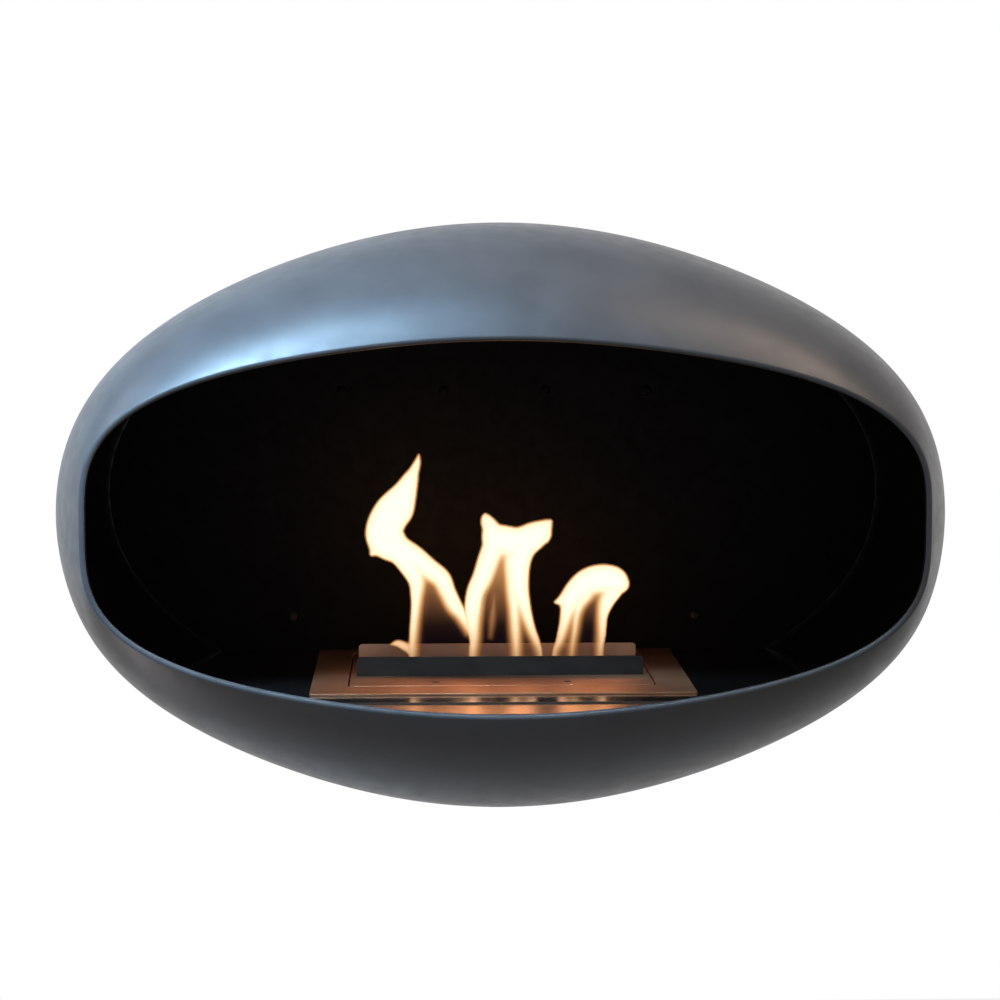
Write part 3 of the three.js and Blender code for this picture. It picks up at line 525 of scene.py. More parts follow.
def buffer_rubber():
    """Matt black rubber, a little grey where it has been handled."""
    material, shader = new_finish("buffer_rubber", specular=0.3)
    tint(shader, grain(shader, 0.006, 5), RUBBER_DARK, RUBBER_LIGHT)
    sheen(shader, grain(shader, 0.002, 3), 0.75, 0.92)
    relief(shader, grain(shader, 0.0006, 2), 0.00005, 0.5)
    return material


powder = bracket_black()
dress("wall_plate", powder, EASED_PLATE)
dress("hook_rail", powder, EASED_PLATE)
for number in range(1, 5):
    node = f"rail_rivet_{number}"
    rivet = turned_piece(f"dome_rivet_{number}", RAIL_RIVET_RINGS,
                         middle_of(node, "y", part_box(node)[0][1] + RAIL_RIVET_HEAD * MM),
                         [zinc, chamber], to_wall=True, second=PAINTED_HEAD)
    stand_for(rivet, node, "stove")
rubber = buffer_rubber()
for side in ("left", "right"):
    buffer = turned_piece(f"buffer_{side}", BUFFER_RINGS,
                          middle_of(f"wall_buffer_{side}", "y", 0), [rubber], to_wall=True)
    stand_for(buffer, f"wall_buffer_{side}", "stove")

# ---- Hearth plate, sill and ledges --------------------------------------------------------
# The chamber's floor: a 2 mm steel plate in gloss black on two ledges welded to the skin,
# with a crescent sill of bright steel that closes the gap to the curved mouth; the sill's
# bronze is part heat tint and part a painted reflection of the flames. Four countersunk
# screws of burnt steel hold it down.
HEARTH_SCREW_RINGS = [(1.5, -9), (2, -8.6), (2, -1.8), (3.7, -0.1), (3.6, 0), (1.4, 0, HEX),
                      (1.3, -0.1, HEX), (1.3, -1.3, HEX)]
GLOSS_DARK, GLOSS_LIGHT = (0.0030, 0.0028, 0.0028), (0.0055, 0.0051, 0.0050)
# The sill's bronze: part heat tint, part a painted reflection of the flames.
BRONZE_TINT_GLOW_DARK, BRONZE_TINT_GLOW_LIGHT = (0.40, 0.27, 0.18), (0.56, 0.40, 0.28)
BURNT_DARK, BURNT_LIGHT = (0.012, 0.0135, 0.015), (0.022, 0.024, 0.026)


def hearth_gloss():
    """Gloss black stoving paint, faintly rippled."""
    material, shader = new_finish("hearth_gloss")
    feed(shader, {"Coat Weight": 0.5, "Coat Roughness": 0.12})
    tint(shader, grain(shader, 0.03, 5), GLOSS_DARK, GLOSS_LIGHT)
    sheen(shader, grain(shader, 0.012, 6), 0.14, 0.22)
    relief(shader, grain(shader, 0.004, 2), 0.00005, 0.3)
    return material


def bronze_steel_painted_glow():
    """Bright steel in bronze, part heat tint and part a painted reflection of the flames, with
    a fine rolling grain.
    """
    material, shader = new_finish("bronze_steel_painted_glow", metallic=1.0)
    tint(shader, grain(shader, 0.05, 4), BRONZE_TINT_GLOW_DARK, BRONZE_TINT_GLOW_LIGHT)
    rolling = grain(shader, 0.0006, 3, stretch=(60, 1, 1))
    sheen(shader, rolling, 0.25, 0.33)
    relief(shader, rolling, 0.00001, 0.25)
    return material


def burnt_steel():
    """Dark burnt steel: blue-grey, in streaks along the sheet."""
    material, shader = new_finish("burnt_steel", metallic=0.8)
    tint(shader, grain(shader, 0.012, 6, stretch=(3, 1, 1)), BURNT_DARK, BURNT_LIGHT)
    sheen(shader, grain(shader, 0.003, 4, stretch=(4, 1, 1)), 0.38, 0.52)
    relief(shader, grain(shader, 0.0007, 2, stretch=(6, 1, 1)), 0.00003, 0.4)
    return material


burnt = burnt_steel()
dress("hearth_plate", hearth_gloss())
dress("front_sill", bronze_steel_painted_glow())
dress("hearth_ledge_left", chamber)
dress("hearth_ledge_right", chamber)
for number in range(1, 5):
    node = f"hearth_screw_{number}"
    screw = turned_piece(f"floor_screw_{number}", HEARTH_SCREW_RINGS,
                         middle_of(node, "z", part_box(node)[1][2]), [burnt])
    stand_for(screw, node, "stove")

# ---- Tray and burner plate ----------------------------------------------------------------
# Brushed stainless sheet, 2 mm thick: the surround that lies on the hearth, and the top
# plate of the drop-in burner with its flame slot, six slits for the guards' tabs and four
# countersunk screws. Laser-cut and brushed lengthwise; its copper colour is part heat tint
# and part the flames' warm light painted on.
TRAY_CORNER = 0.002
BURNER_GAP = 0.00175
SLOT_HALF = 0.1225
SLOT_FRONT, SLOT_REAR = -0.161, -0.125
SLOT_CORNER = 0.003
TAB_HALF = 0.010
TAB_PITCH = 0.100
FRONT_GUARD_FACE, REAR_GUARD_FACE = -0.2075, -0.122
GUARD_THICKNESS = 0.0015
SLIT_GAP = 0.0002
SLIT_CORNER = 0.0003
PLATE_SCREW_HOLE, PLATE_SCREW_FOOT = 0.0044, 0.0024  # its countersink, above and below
BURNER_SCREW_RINGS = [(1.5, -9), (2, -8.6), (2, -2.2), (4.1, -0.1), (4, 0), (1.6, 0, HEX),
                      (1.5, -0.1, HEX), (1.5, -1.5, HEX)]
HOLE_SIDES = 32
# The stainless's copper colour: part heat tint, part the flames' warm light painted on.
STAINLESS_TINT_GLOW_DARK, STAINLESS_TINT_GLOW_LIGHT = (0.28, 0.135, 0.072), (0.42, 0.22, 0.128)


def filleted(corners, radii, steps=6):
    """A closed outline with its corners rounded, each to its own radius."""
    corners = [np.array(c, float) for c in corners]
    line = []
    for i, corner in enumerate(corners):
        radius = radii[i] if isinstance(radii, (list, tuple)) else radii
        before = corners[i - 1] - corner
        after = corners[(i + 1) % len(corners)] - corner
        before, after = before / np.linalg.norm(before), after / np.linalg.norm(after)
        half = math.acos(np.clip(before @ after, -1, 1)) / 2
        bisector = (before + after) / np.linalg.norm(before + after)
        centre = corner + bisector * radius / math.sin(half)
        first = corner + before * radius / math.tan(half) - centre
        turn = (math.pi - 2 * half) * np.sign(before[1] * after[0] - before[0] * after[1])
        for k in range(steps + 1):
            a = turn * k / steps
            line.append(centre + [first[0] * math.cos(a) - first[1] * math.sin(a),
                                  first[0] * math.sin(a) + first[1] * math.cos(a)])
    return np.array(line)


def rectangle(left, right, front, rear, radius, steps=6):
    return filleted([(right, front), (right, rear), (left, rear), (left, front)], radius, steps)


def box_outline(node, corner, inset=0.0, steps=6):
    """The outline of a node's box seen from above, set in on all sides."""
    low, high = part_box(node)
    return rectangle(low[0] + inset, high[0] - inset, low[1] + inset, high[1] - inset,
                     corner, steps)


def round_holes(places, radius):
    angles = np.arange(HOLE_SIDES) * 2 * math.pi / HOLE_SIDES
    return [np.stack([x + radius * np.cos(angles), y + radius * np.sin(angles)], axis=1)
            for x, y, _ in places]


def side_directions(line):
    """At each point of an outline, the direction into the sheet, stretched at corners."""
    along = line - np.roll(line, 1, axis=0)
    along /= np.linalg.norm(along, axis=1, keepdims=True)
    left = np.stack([-along[:, 1], along[:, 0]], axis=1)
    after = np.roll(left, -1, axis=0)
    return (left + after) / (1 + (left * after).sum(axis=1, keepdims=True))


def wound(outlines, feet):
    """Rim and holes on the high side and on the low side, all with the metal on their left."""
    tops, lows = list(outlines), list(outlines[:len(outlines) - len(feet)]) + list(feet)
    for i, line in enumerate(tops):
        area = (line[:, 0] * np.roll(line[:, 1], -1) - np.roll(line[:, 0], -1) * line[:, 1]).sum()
        if (area > 0) != (i == 0):
            tops[i], lows[i] = line[::-1], lows[i][::-1]
    return tops, lows


def sheet(name, node, outlines, material, upright=False, edge=EASED_CUT, feet=()):
    """Cut sheet metal with eased edges, as thick as a node's box, from its rim and holes.

    A level sheet's outlines are in x and y, an upright one's in x and z. feet holds the
    outlines on the low side of the last few, where those differ, as round a countersink.
    """
    low, high = (corner[1 if upright else 2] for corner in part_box(node))
    tops, lows = wound(outlines, feet)
    eases = [(edge, 0), (0.3 * edge, 0.3 * edge), (0, edge)]
    levels = [(inset, low + rise, -1 + k / 2) for k, (inset, rise) in enumerate(eases)]
    levels += [(inset, high - rise, k / 2) for k, (inset, rise) in enumerate(eases[::-1])]
    points, normals, faces, starts = [], [], [], []
    for top, foot in zip(tops, lows):
        starts.append(len(points))
        faces += [tuple(len(points) + v for v in f) for f in bands(len(levels), len(top))]
        for inset, height, lean in levels:
            share = (height - low) / (high - low)
            line = top * share + foot * (1 - share)
            inward = side_directions(line)
            for (u, v), (du, dv) in zip(line + inset * inward, inward):
                points.append((u, height, v) if upright else (u, v, height))
                out = math.sqrt(max(0, 1 - lean * lean)) / math.hypot(du, dv)
                normals.append((-du * out, lean, -dv * out) if upright
                               else (-du * out, -dv * out, lean))
    for level in (0, len(levels) - 1):
        numbers = [start + level * len(top) + j for start, top in zip(starts, tops)
                   for j in range(len(top))]
        rims = [[Vector(points[start + level * len(top) + j]) for j in range(len(top))]
                for start, top in zip(starts, tops)]
        faces += [tuple(numbers[v] for v in triangle) for triangle in tessellate_polygon(rims)]
    piece = new_piece(name, points, faces, [material])
    piece.data.normals_split_custom_set_from_vertices(normals)
    return piece


def brushed_stainless_painted_glow():
    """Stainless brushed along its length, copper in broad patches: part heat tint, part
    the flames' warm light painted on.
    """
    material, shader = new_finish("brushed_stainless_painted_glow", metallic=1.0, anisotropic=0.4)
    tint(shader, grain(shader, 0.09, 3), STAINLESS_TINT_GLOW_DARK, STAINLESS_TINT_GLOW_LIGHT)
    brush = grain(shader, 0.0006, 4, stretch=(90, 1, 1))
    sheen(shader, brush, 0.38, 0.52)
    relief(shader, brush, 0.00003, 0.35)
    return material


def slit(x, face):
    """The slit for a guard's tab, a little wider than the tab all round."""
    half, rear = TAB_HALF + SLIT_GAP, face + GUARD_THICKNESS + SLIT_GAP
    return rectangle(x - half, x + half, face - SLIT_GAP, rear, SLIT_CORNER, 2)


stainless = brushed_stainless_painted_glow()
tray = sheet("tray", "tray_plate",
             [box_outline("tray_plate", TRAY_CORNER),
              box_outline("burner_plate", TRAY_CORNER, -BURNER_GAP)], stainless)
stand_for(tray, "tray_plate", "stove")

plate_screws = [middle_of(f"burner_screw_{n}", "z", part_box(f"burner_screw_{n}")[1][2])
                for n in range(1, 5)]
slits = [slit(i * TAB_PITCH, face) for face in (FRONT_GUARD_FACE, REAR_GUARD_FACE)
         for i in (-1, 0, 1)]
top_plate = sheet("top_plate", "burner_plate",
                  [box_outline("burner_plate", TRAY_CORNER),
                   rectangle(-SLOT_HALF, SLOT_HALF, SLOT_FRONT, SLOT_REAR, SLOT_CORNER)]
                  + slits + round_holes(plate_screws, PLATE_SCREW_HOLE), stainless,
                  feet=round_holes(plate_screws, PLATE_SCREW_FOOT))
stand_for(top_plate, "burner_plate", "burner")
for number, place in enumerate(plate_screws, 1):
    screw = turned_piece(f"plate_screw_{number}", BURNER_SCREW_RINGS, place, [burnt])
    stand_for(screw, f"burner_screw_{number}", "burner")

# ---- Fuel tank, gasket, ceramic wool and grille -------------------------------------------
# The folded and welded 1.5 mm stainless tank hangs from the top plate by its inward flange,
# on a fibre gasket. A pad of ceramic wool in it soaks up the ethanol, and a slotted grille
# of burnt steel keeps the wool down.
TANK_CORNER = 0.014
TANK_CORNER_LEAST = 0.004
TANK_WALL = 0.0015
TANK_FLANGE = 0.018
TANK_FOLD = 0.0035
TANK_FOLD_TURNS = (0, 0.4, 0.8, 1.2, math.pi / 2)
TANK_RIM = [(0, -0.001), (0.0003, -0.0003), (0.001, 0)]  # how the rim rounds over, in and up
FOLDED_CREASE = 40
SEAL_OPENING = 0.017
SEAL_HOLE = 0.0022
SEAL_EDGE = 0.0001
WOOL_CORNER = 0.012
WOOL_FOOT = [(0.004, 0), (0.001, 0.003), (0, 0.012)]
WOOL_SHOULDER = 0.008
WOOL_CROWN = 0.0022
WOOL_CROWN_WIDTH = 0.075
WOOL_CROWN_RINGS = 26
WOOL_TUFTS = 0.0005
WOOL_TUFT_WAVES = (410, 530, 90)  # in radians a metre: along x, along y, and y's slant along x
GRILLE_SLOTS = 10
GRILLE_SLOT = 0.014
GRILLE_BORDER = 0.007
GRILLE_CORNER = 0.002
GRILLE_EDGE = 0.0002
FIBRE_DARK, FIBRE_LIGHT = (0.08, 0.075, 0.07), (0.14, 0.13, 0.12)
WOOL_SCORCHED, WOOL_CLEAN = (0.42, 0.36, 0.28), (0.66, 0.63, 0.56)


def dished(name, outline, profile, material):
    """A folded or padded form: its outline at each (inset, height), closed at both ends."""
    rings = [np.column_stack([outline(inset), np.full(len(outline(inset)), height)])
             for inset, height in profile]
    count = len(rings[0])
    last = (len(rings) - 1) * count
    faces = bands(len(rings), count) + [tuple(range(count)), tuple(range(last, last + count))]
    piece = new_piece(name, np.concatenate(rings), faces, [material])
    crease(piece, FOLDED_CREASE)
    return piece


def round_box(node, corner):
    """A node's outline as a function of how far in it runs; its corners tighten inward."""
    return lambda inset: box_outline(node, max(corner - max(inset, 0), TANK_CORNER_LEAST),
                                     inset, 8)


def gasket_fibre():
    """Grey pressed mineral fibre."""
    material, shader = new_finish("gasket_fibre", specular=0.15)
    tint(shader, grain(shader, 0.002, 5), FIBRE_DARK, FIBRE_LIGHT)
    sheen(shader, grain(shader, 0.003, 3), 0.85, 0.98)
    relief(shader, grain(shader, 0.0008, 4), 0.0001, 0.6)
    return material


def kiln_wool():
    """Off-white ceramic fibre, scorched in places."""
    material, shader = new_finish("kiln_wool", specular=0.1)
    tint(shader, grain(shader, 0.02, 6), WOOL_SCORCHED, WOOL_CLEAN)
    sheen(shader, grain(shader, 0.004, 3), 0.88, 1.0)
    relief(shader, grain(shader, 0.0016, 6, stretch=(3, 2, 1)), 0.0006, 0.9)
    return material


tank_floor, tank_top = (corner[2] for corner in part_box("fuel_tank"))
fold = [(TANK_FOLD * (1 - math.sin(a)), tank_floor + TANK_FOLD * (1 - math.cos(a)))
        for a in TANK_FOLD_TURNS]
rim = [(inset, tank_top + rise) for inset, rise in TANK_RIM]
flange = [(TANK_FLANGE, tank_top), (TANK_FLANGE, tank_top - TANK_WALL),
          (TANK_WALL, tank_top - TANK_WALL)]
inner_fold = [(inset + TANK_WALL, height + TANK_WALL) for inset, height in fold[::-1]]
tank = dished("folded_tank", round_box("fuel_tank", TANK_CORNER),
              fold + rim + flange + inner_fold, stainless)
stand_for(tank, "fuel_tank", "burner")

seal_edge = round_box("tank_gasket", TANK_CORNER)
seal = sheet("fibre_seal", "tank_gasket", [seal_edge(0), seal_edge(SEAL_OPENING)]
             + round_holes(plate_screws, SEAL_HOLE), gasket_fibre(), edge=SEAL_EDGE)
stand_for(seal, "tank_gasket", "burner")

wool_floor, wool_top = (corner[2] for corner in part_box("ceramic_wool"))
foot = [(inset, wool_floor + rise) for inset, rise in WOOL_FOOT]
crown = [(0.0005 + WOOL_CROWN_WIDTH * s ** 1.6, wool_top - 0.0006 - WOOL_CROWN * (1 - s) ** 3)
         for s in np.linspace(0, 1, WOOL_CROWN_RINGS)]
wool = dished("wool_pad", round_box("ceramic_wool", WOOL_CORNER),
              foot + [(0, wool_top - WOOL_SHOULDER)] + crown, kiln_wool())
wave_x, wave_y, slant = WOOL_TUFT_WAVES
for vertex in wool.data.vertices:
    x, y, z = vertex.co
    if z > wool_top - WOOL_SHOULDER / 2:
        vertex.co.z += WOOL_TUFTS * math.sin(x * wave_x) * math.sin(y * wave_y + x * slant)
stand_for(wool, "ceramic_wool", "burner")

grille_low, grille_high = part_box("wool_grille")
grille_pitch = (grille_high[0] - grille_low[0] - 2 * GRILLE_BORDER) / GRILLE_SLOTS
slot_middles = [(i - (GRILLE_SLOTS - 1) / 2) * grille_pitch for i in range(GRILLE_SLOTS)]
grille_slots = [rectangle(x - GRILLE_SLOT / 2, x + GRILLE_SLOT / 2, grille_low[1] + GRILLE_BORDER,
                          grille_high[1] - GRILLE_BORDER, GRILLE_SLOT / 4) for x in slot_middles]
grille = sheet("wool_grid", "wool_grille", [box_outline("wool_grille", GRILLE_CORNER)]
               + grille_slots, burnt, edge=GRILLE_EDGE)
stand_for(grille, "wool_grille", "burner")

# ---- Flame guards and lid guides ----------------------------------------------------------
# Two upright steel strips, 1.5 mm thick, on three tabs each that are pressed through the
# slits in the top plate; the flames lean over the rear one, whose straw and brown is part
# heat tint and part the flames' warm light painted on. The folded clips at the slot's ends
# guide the lid's ends, which run under them.
GUARD_CORNER = 0.004
GUARD_FOOT_CORNER = 0.0004
TAB_CORNER = 0.0008
FOOT_GAP = 0.0001
GUARD_EDGE = 0.0004
CLIP_SECTION = [(0.128, 0.0001), (0.136, 0.0001), (0.136, 0.0033), (0.124, 0.0033),
                (0.124, 0.0021), (0.128, 0.0021)]
CLIP_CORNER = 0.0003
CLIP_EDGE = 0.0002
# The rear guard's straw and brown: part heat tint, part the flames' warm light painted on.
STRAW_TINT_GLOW_DARK, STRAW_TINT_GLOW_LIGHT = (0.34, 0.205, 0.14), (0.46, 0.29, 0.205)
plate_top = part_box("burner_plate")[1][2]


def guard_outline(node):
    """Rounded at the top corners, with the tabs below the foot."""
    low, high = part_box(node)
    foot = plate_top + FOOT_GAP
    corners = [(high[0], high[2]), (low[0], high[2]), (low[0], foot)]
    radii = [GUARD_CORNER, GUARD_CORNER, GUARD_FOOT_CORNER]
    for i in (-1, 0, 1):
        left, right = i * TAB_PITCH - TAB_HALF, i * TAB_PITCH + TAB_HALF
        corners += [(left, foot), (left, low[2]), (right, low[2]), (right, foot)]
        radii += [GUARD_FOOT_CORNER, TAB_CORNER, TAB_CORNER, GUARD_FOOT_CORNER]
    return filleted(corners + [(high[0], foot)], radii + [GUARD_FOOT_CORNER], 5)


def straw_steel_painted_glow():
    """Satin steel in straw and brown: part heat tint, part the flames' warm light painted on."""
    material, shader = new_finish("straw_steel_painted_glow", metallic=1.0)
    tint(shader, grain(shader, 0.04, 4), STRAW_TINT_GLOW_DARK, STRAW_TINT_GLOW_LIGHT)
    brush = grain(shader, 0.0006, 4, stretch=(60, 1, 1))
    sheen(shader, brush, 0.42, 0.54)
    relief(shader, brush, 0.00003, 0.35)
    return material


for node, name, finish in (("front_guard", "guard_front", burnt),
                           ("rear_guard", "guard_rear", straw_steel_painted_glow())):
    guard = sheet(name, node, [guard_outline(node)], finish, upright=True, edge=GUARD_EDGE)
    stand_for(guard, node, "burner")
for side, name in ((-1, "left"), (1, "right")):
    section = [(side * x, plate_top + z) for x, z in CLIP_SECTION]
    clip = sheet(f"clip_{name}", f"lid_guide_{name}", [filleted(section, CLIP_CORNER, 3)], burnt,
                 upright=True, edge=CLIP_EDGE)
    stand_for(clip, f"lid_guide_{name}", "burner")

# ---- Lid ----------------------------------------------------------------------------------
# The 1.5 mm stainless lid that slides over the slot to put the flames out, with a bent pull
# on two zinc-plated rivets for the hook.
PULL_RIVET_RINGS = [(1.5, -2.9), (1.5, 0), (2.8, 0), (2.8, 0.3), (2.4, 0.65), (1.6, 0.87),
                    (0.8, 0.9)]
PULL_RIVET_HEAD = 0.9
PULL_RIVET_HOLE = 0.0017
LID_CORNER = 0.0015
LID_EDGE = 0.0004
EASED_PULL = 0.0002

pull_rivets = [middle_of(f"pull_rivet_{n}", "z",
                         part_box(f"pull_rivet_{n}")[1][2] - PULL_RIVET_HEAD * MM) for n in (1, 2)]
lid = sheet("slide_lid", "lid_plate", [box_outline("lid_plate", LID_CORNER)]
            + round_holes(pull_rivets, PULL_RIVET_HOLE), stainless, edge=LID_EDGE)
stand_for(lid, "lid_plate", "lid")
dress("lid_pull", stainless, EASED_PULL)
for number, place in enumerate(pull_rivets, 1):
    rivet = turned_piece(f"lid_rivet_{number}", PULL_RIVET_RINGS, place, [zinc])
    stand_for(rivet, f"pull_rivet_{number}", "lid")

# ---- Flames -------------------------------------------------------------------------------
# Ethanol flames: thin curtains of glowing gas that stand in the slot, nearly clear at the
# foot, cream white in the body and orange at the edges. They are brighter than the white
# room, and so they light the guards, the tray and the hearth.
FLAME_Y = -0.143
FLAME_FOOT = -0.0125  # where a curtain starts, from the top plate's upper face
# In millimetres: the steps along a tongue's line and between a curtain's points, how far an
# outer edge fades, how far a tongue melts into the haze beside it, half the depth of a tongue
# that is this wide to each side, and how far the parts of tongues and haze flow together.
FLAME_STEP, FLAME_CELL = 1.5, 1.1
FLAME_SOFT, FLAME_MELT = 1.5, 14.0
FLAME_BULGE, FLAME_FULL = 8.0, 16.0
TONGUE_JOIN, HAZE_JOIN = 1.8, 3.0
NARROWEST = 0.3
HAZE_SHARE = 0.6  # how deep the haze counts beside the tongues
RIM_PROBE = 0.2
RIM_PULLS = 2
RIM_PULL_MOST = 0.35 * FLAME_CELL
RIM_SLOPE_LEAST = 0.2
SWAY_SIZES, SWAY_LENGTHS = (4, 5), (23, 47)  # of the waves along its width and its height
SWAY_RISE = (0, 90)
# Depths in mm between which the gas changes: where a tongue melts into the haze, by the depth
# in each; where the haze and a melting tongue grow dense; and where the edge and the core of
# a tongue, and a melting tongue, grow warm.
MELT_IN_HAZE, MELT_IN_TONGUE = (-7, -2), (7, 1)
HAZE_DENSE, MOLTEN_DENSE = (-3, 7), (-FLAME_MELT, 2.5)
EDGE_WARM, CORE_WARM, MOLTEN_WARM = (-2.2, 2.2), (1, 9), (-12, 7.5)
# Heights in mm between which tongues and haze grow dense and warm, and the haze's apex does.
TONGUE_DENSE_UP, TONGUE_WARM_UP = (-5, 40), (-5, 70)
HAZE_DENSE_UP, HAZE_WARM_UP, HAZE_APEX = (20, 85), (15, 85), (70, 120)
# How dense and warm they are at the foot, and what the rise and the apex add.
TONGUE_VEIL, HAZE_VEIL = (0.35, 0.64), (0.10, 0.42, 0.26)
TONGUE_WARMTH, HAZE_WARMTH = (0.72, 0.28), (0.03, 0.27, 0.16)
WISP_DENSE, WISP_VEIL, WISP_WARMTH = (-10, 3), 0.36, 0.38
FLAME_STRENGTH = 6.0
FLAME_COLOURS = [(0.0, (0.010, 0.009, 0.034)), (0.12, (0.06, 0.026, 0.018)),
                 (0.28, (0.34, 0.14, 0.055)), (0.46, (0.78, 0.36, 0.13)),
                 (0.62, (1.0, 0.68, 0.34)), (0.80, (2.2, 0.96, 0.66)),
                 (1.0, (6.0, 2.7, 0.92))]

# A tongue is a line of (sideways, height over the top plate, half width), in millimetres.
LEFT_TONGUES = {
    "leg": [(-90, -12, 2.7), (-90, 14, 3.2), (-89, 37, 3.5), (-87, 58, 4.0), (-86, 73, 5.2),
            (-86, 88, 7.6), (-92, 103, 10.6), (-103, 118, 12.2), (-115, 131, 18.7),
            (-118, 142, 19.3), (-111, 161, 17.6), (-98, 182, 11.2), (-89, 200, 6.0),
            (-84, 212, 3.4), (-82, 221, 0.6)],
    "rib": [(-91, 194, 6.4), (-96, 176, 10.2), (-99, 161, 10.4), (-104, 151, 7.3)],
    "heel": [(-122, 128, 10.4), (-131, 117, 2.2)],
    "shoulder": [(-110, 125, 14.0), (-90, 116, 11.6), (-73, 103, 10.2), (-59, 92, 9.2),
                 (-52, 78, 7.7), (-45, 64, 7.0), (-38, 54, 5.2), (-33, 44, 3.4), (-30, 36, 1.6)],
    "foot": [(-92, 15, 3.1), (-98, 20, 4.5), (-105, 23, 3.6), (-112, 22, 1.0)],
}
MIDDLE_TONGUES = {
    "left_leg": [(-28, -13, 2.7), (-27, 14, 4.0), (-26, 26, 4.3), (-27, 42, 6.3), (-27, 58, 8.3),
                 (-24, 77, 9.0), (-17, 93, 9.7), (-11, 110, 10.4), (-5, 128, 10.6),
                 (-7, 142, 8.9), (-11, 150, 6.8), (-13, 155, 3.6), (-13, 158, 0.8)],
    "saddle": [(-6, 134, 9.9), (3, 132, 14.6), (18, 130, 14.6), (30, 132, 14.1),
               (38, 137, 12.0), (43, 140, 9.0)],
    "right_horn": [(37, 136, 12.0), (43, 142, 8.8), (49, 147, 5.0), (54, 151, 1.6)],
    "horn_edge": [(50, 146, 4.6), (50, 137, 4.4), (49, 133, 3.4)],
    "right_leg": [(45, -13, 1.9), (44, 13, 2.6), (40, 26, 3.4), (36, 36, 3.8), (32, 48, 4.6),
                  (27, 65, 6.4), (22, 84, 9.6), (21, 105, 11.8), (25, 121, 12.4),
                  (33, 134, 12.4)],
    "inner_leg": [(19, -13, 2.3), (19, 14, 3.0), (18, 37, 3.2), (17, 58, 3.8), (16, 77, 5.0),
                  (17, 95, 6.7), (17, 112, 8.3)],
}
RIGHT_TONGUES = {
    "arch": [(57, -13, 1.3), (59, 13, 2.3), (64, 26, 3.1), (68, 42, 4.5), (71, 55, 6.3),
             (75, 67, 9.4), (80, 76, 11.5), (92, 86, 13.2), (106, 90, 14.2), (120, 89, 13.8),
             (127, 85, 9.9)],
    "beak": [(72, 69, 7.6), (60, 66, 1.6)],
    "middle_leg": [(77, -13, 0.8), (77, 13, 1.0), (80, 36, 1.2), (82, 52, 2.2), (85, 63, 4.0),
                   (91, 74, 6.3)],
    "right_leg": [(107, -13, 1.4), (107, 13, 2.2), (109, 32, 3.0), (110, 50, 4.0),
                  (114, 65, 6.9), (120, 76, 8.4)],
}
LEFT_HAZE = {"hollow": [(-61, -12, 25.1), (-61, 27, 22.9), (-63, 48, 18.8), (-67, 63, 14.6),
                        (-73, 79, 9.4), (-77, 90, 4.2)],
             "fringe": [(-40, -12, 9.0), (-39, 22, 9.0), (-39, 42, 7.0)]}
MIDDLE_HAZE = {"left_hollow": [(-2, -13, 19.9), (-2, 14, 19.9), (-2, 37, 16.7), (-1, 58, 14.1),
                               (1, 79, 11.5), (4, 100, 7.3), (5, 113, 3.1)],
               "right_hollow": [(31, -13, 9.4), (30, 13, 9.4), (27, 31, 7.3), (24, 52, 4.2),
                                (22, 68, 2.1)]}
RIGHT_HAZE = {"hollow": [(94, -13, 14.7), (95, 26, 14.1), (98, 47, 12.0), (102, 63, 8.4),
                         (104, 76, 3.1)],
              "left_hollow": [(67, -13, 7.3), (68, 10, 7.3), (70, 26, 6.3), (74, 42, 4.2),
                              (78, 55, 2.1)]}
MIDDLE_WISP = [(-8, 30, 0.5), (-6, 50, 2.2), (-4, 72, 0.5)]


def point_value(tree, name):
    """A value that is kept at each point of the mesh."""
    kept = add_node(tree, "Attribute", {})
    kept.attribute_name = name
    return kept.outputs["Fac"]


def flame_gas():
    """Glowing gas: colour by warmth and clearness by veil, both kept at each point."""
    material, shader = new_finish("flame_gas", specular=0.0)
    tree = material.node_tree
    ramp = add_node(tree, "ValToRGB", {"Fac": point_value(tree, "warmth")})
    stops = ramp.color_ramp.elements
    stops[0].position, stops[1].position = FLAME_COLOURS[0][0], FLAME_COLOURS[-1][0]
    for position, _ in FLAME_COLOURS[1:-1]:
        stops.new(position)
    for stop, (_, colour) in zip(stops, FLAME_COLOURS):
        stop.color = [value / FLAME_STRENGTH for value in colour] + [1]
    feed(shader, {"Base Color": (0, 0, 0, 1), "Roughness": 1.0,
                  "Emission Color": ramp.outputs["Color"], "Emission Strength": FLAME_STRENGTH,
                  "Alpha": point_value(tree, "veil")})
    material.surface_render_method = "BLENDED"
    return material


def flowing(line):
    """The line's points joined by a smooth curve, about a step apart."""
    points = np.array(line, float)
    ends = np.vstack([2 * points[0] - points[1], points, 2 * points[-1] - points[-2]])
    out = []
    for a, b, c, d in zip(ends, ends[1:], ends[2:], ends[3:]):
        count = max(2, int(np.linalg.norm((c - b)[:2]) / FLAME_STEP))
        for s in np.arange(count) / count:
            out.append(0.5 * (2 * b + (c - a) * s + (2 * a - 5 * b + 4 * c - d) * s * s
                              + (3 * b - a - 3 * c + d) * s ** 3))
    out.append(points[-1])
    curve = np.array(out)
    curve[:, 2] = np.maximum(curve[:, 2], NARROWEST)
    return curve


def depth_in(curve, x, h):
    """How far inside a tongue each point lies, in millimetres: below zero outside it."""
    dx = x[:, None] - curve[None, :, 0]
    dh = h[:, None] - curve[None, :, 1]
    return (curve[None, :, 2] - np.sqrt(dx * dx + dh * dh)).max(axis=1)


def united(curves, x, h, blend):
    """Depth in several tongues as one, with the joins smoothed."""
    stack = np.stack([depth_in(curve, x, h) for curve in curves])
    top = stack.max(axis=0)
    return top + blend * np.log(np.exp((stack - top) / blend).sum(axis=0))


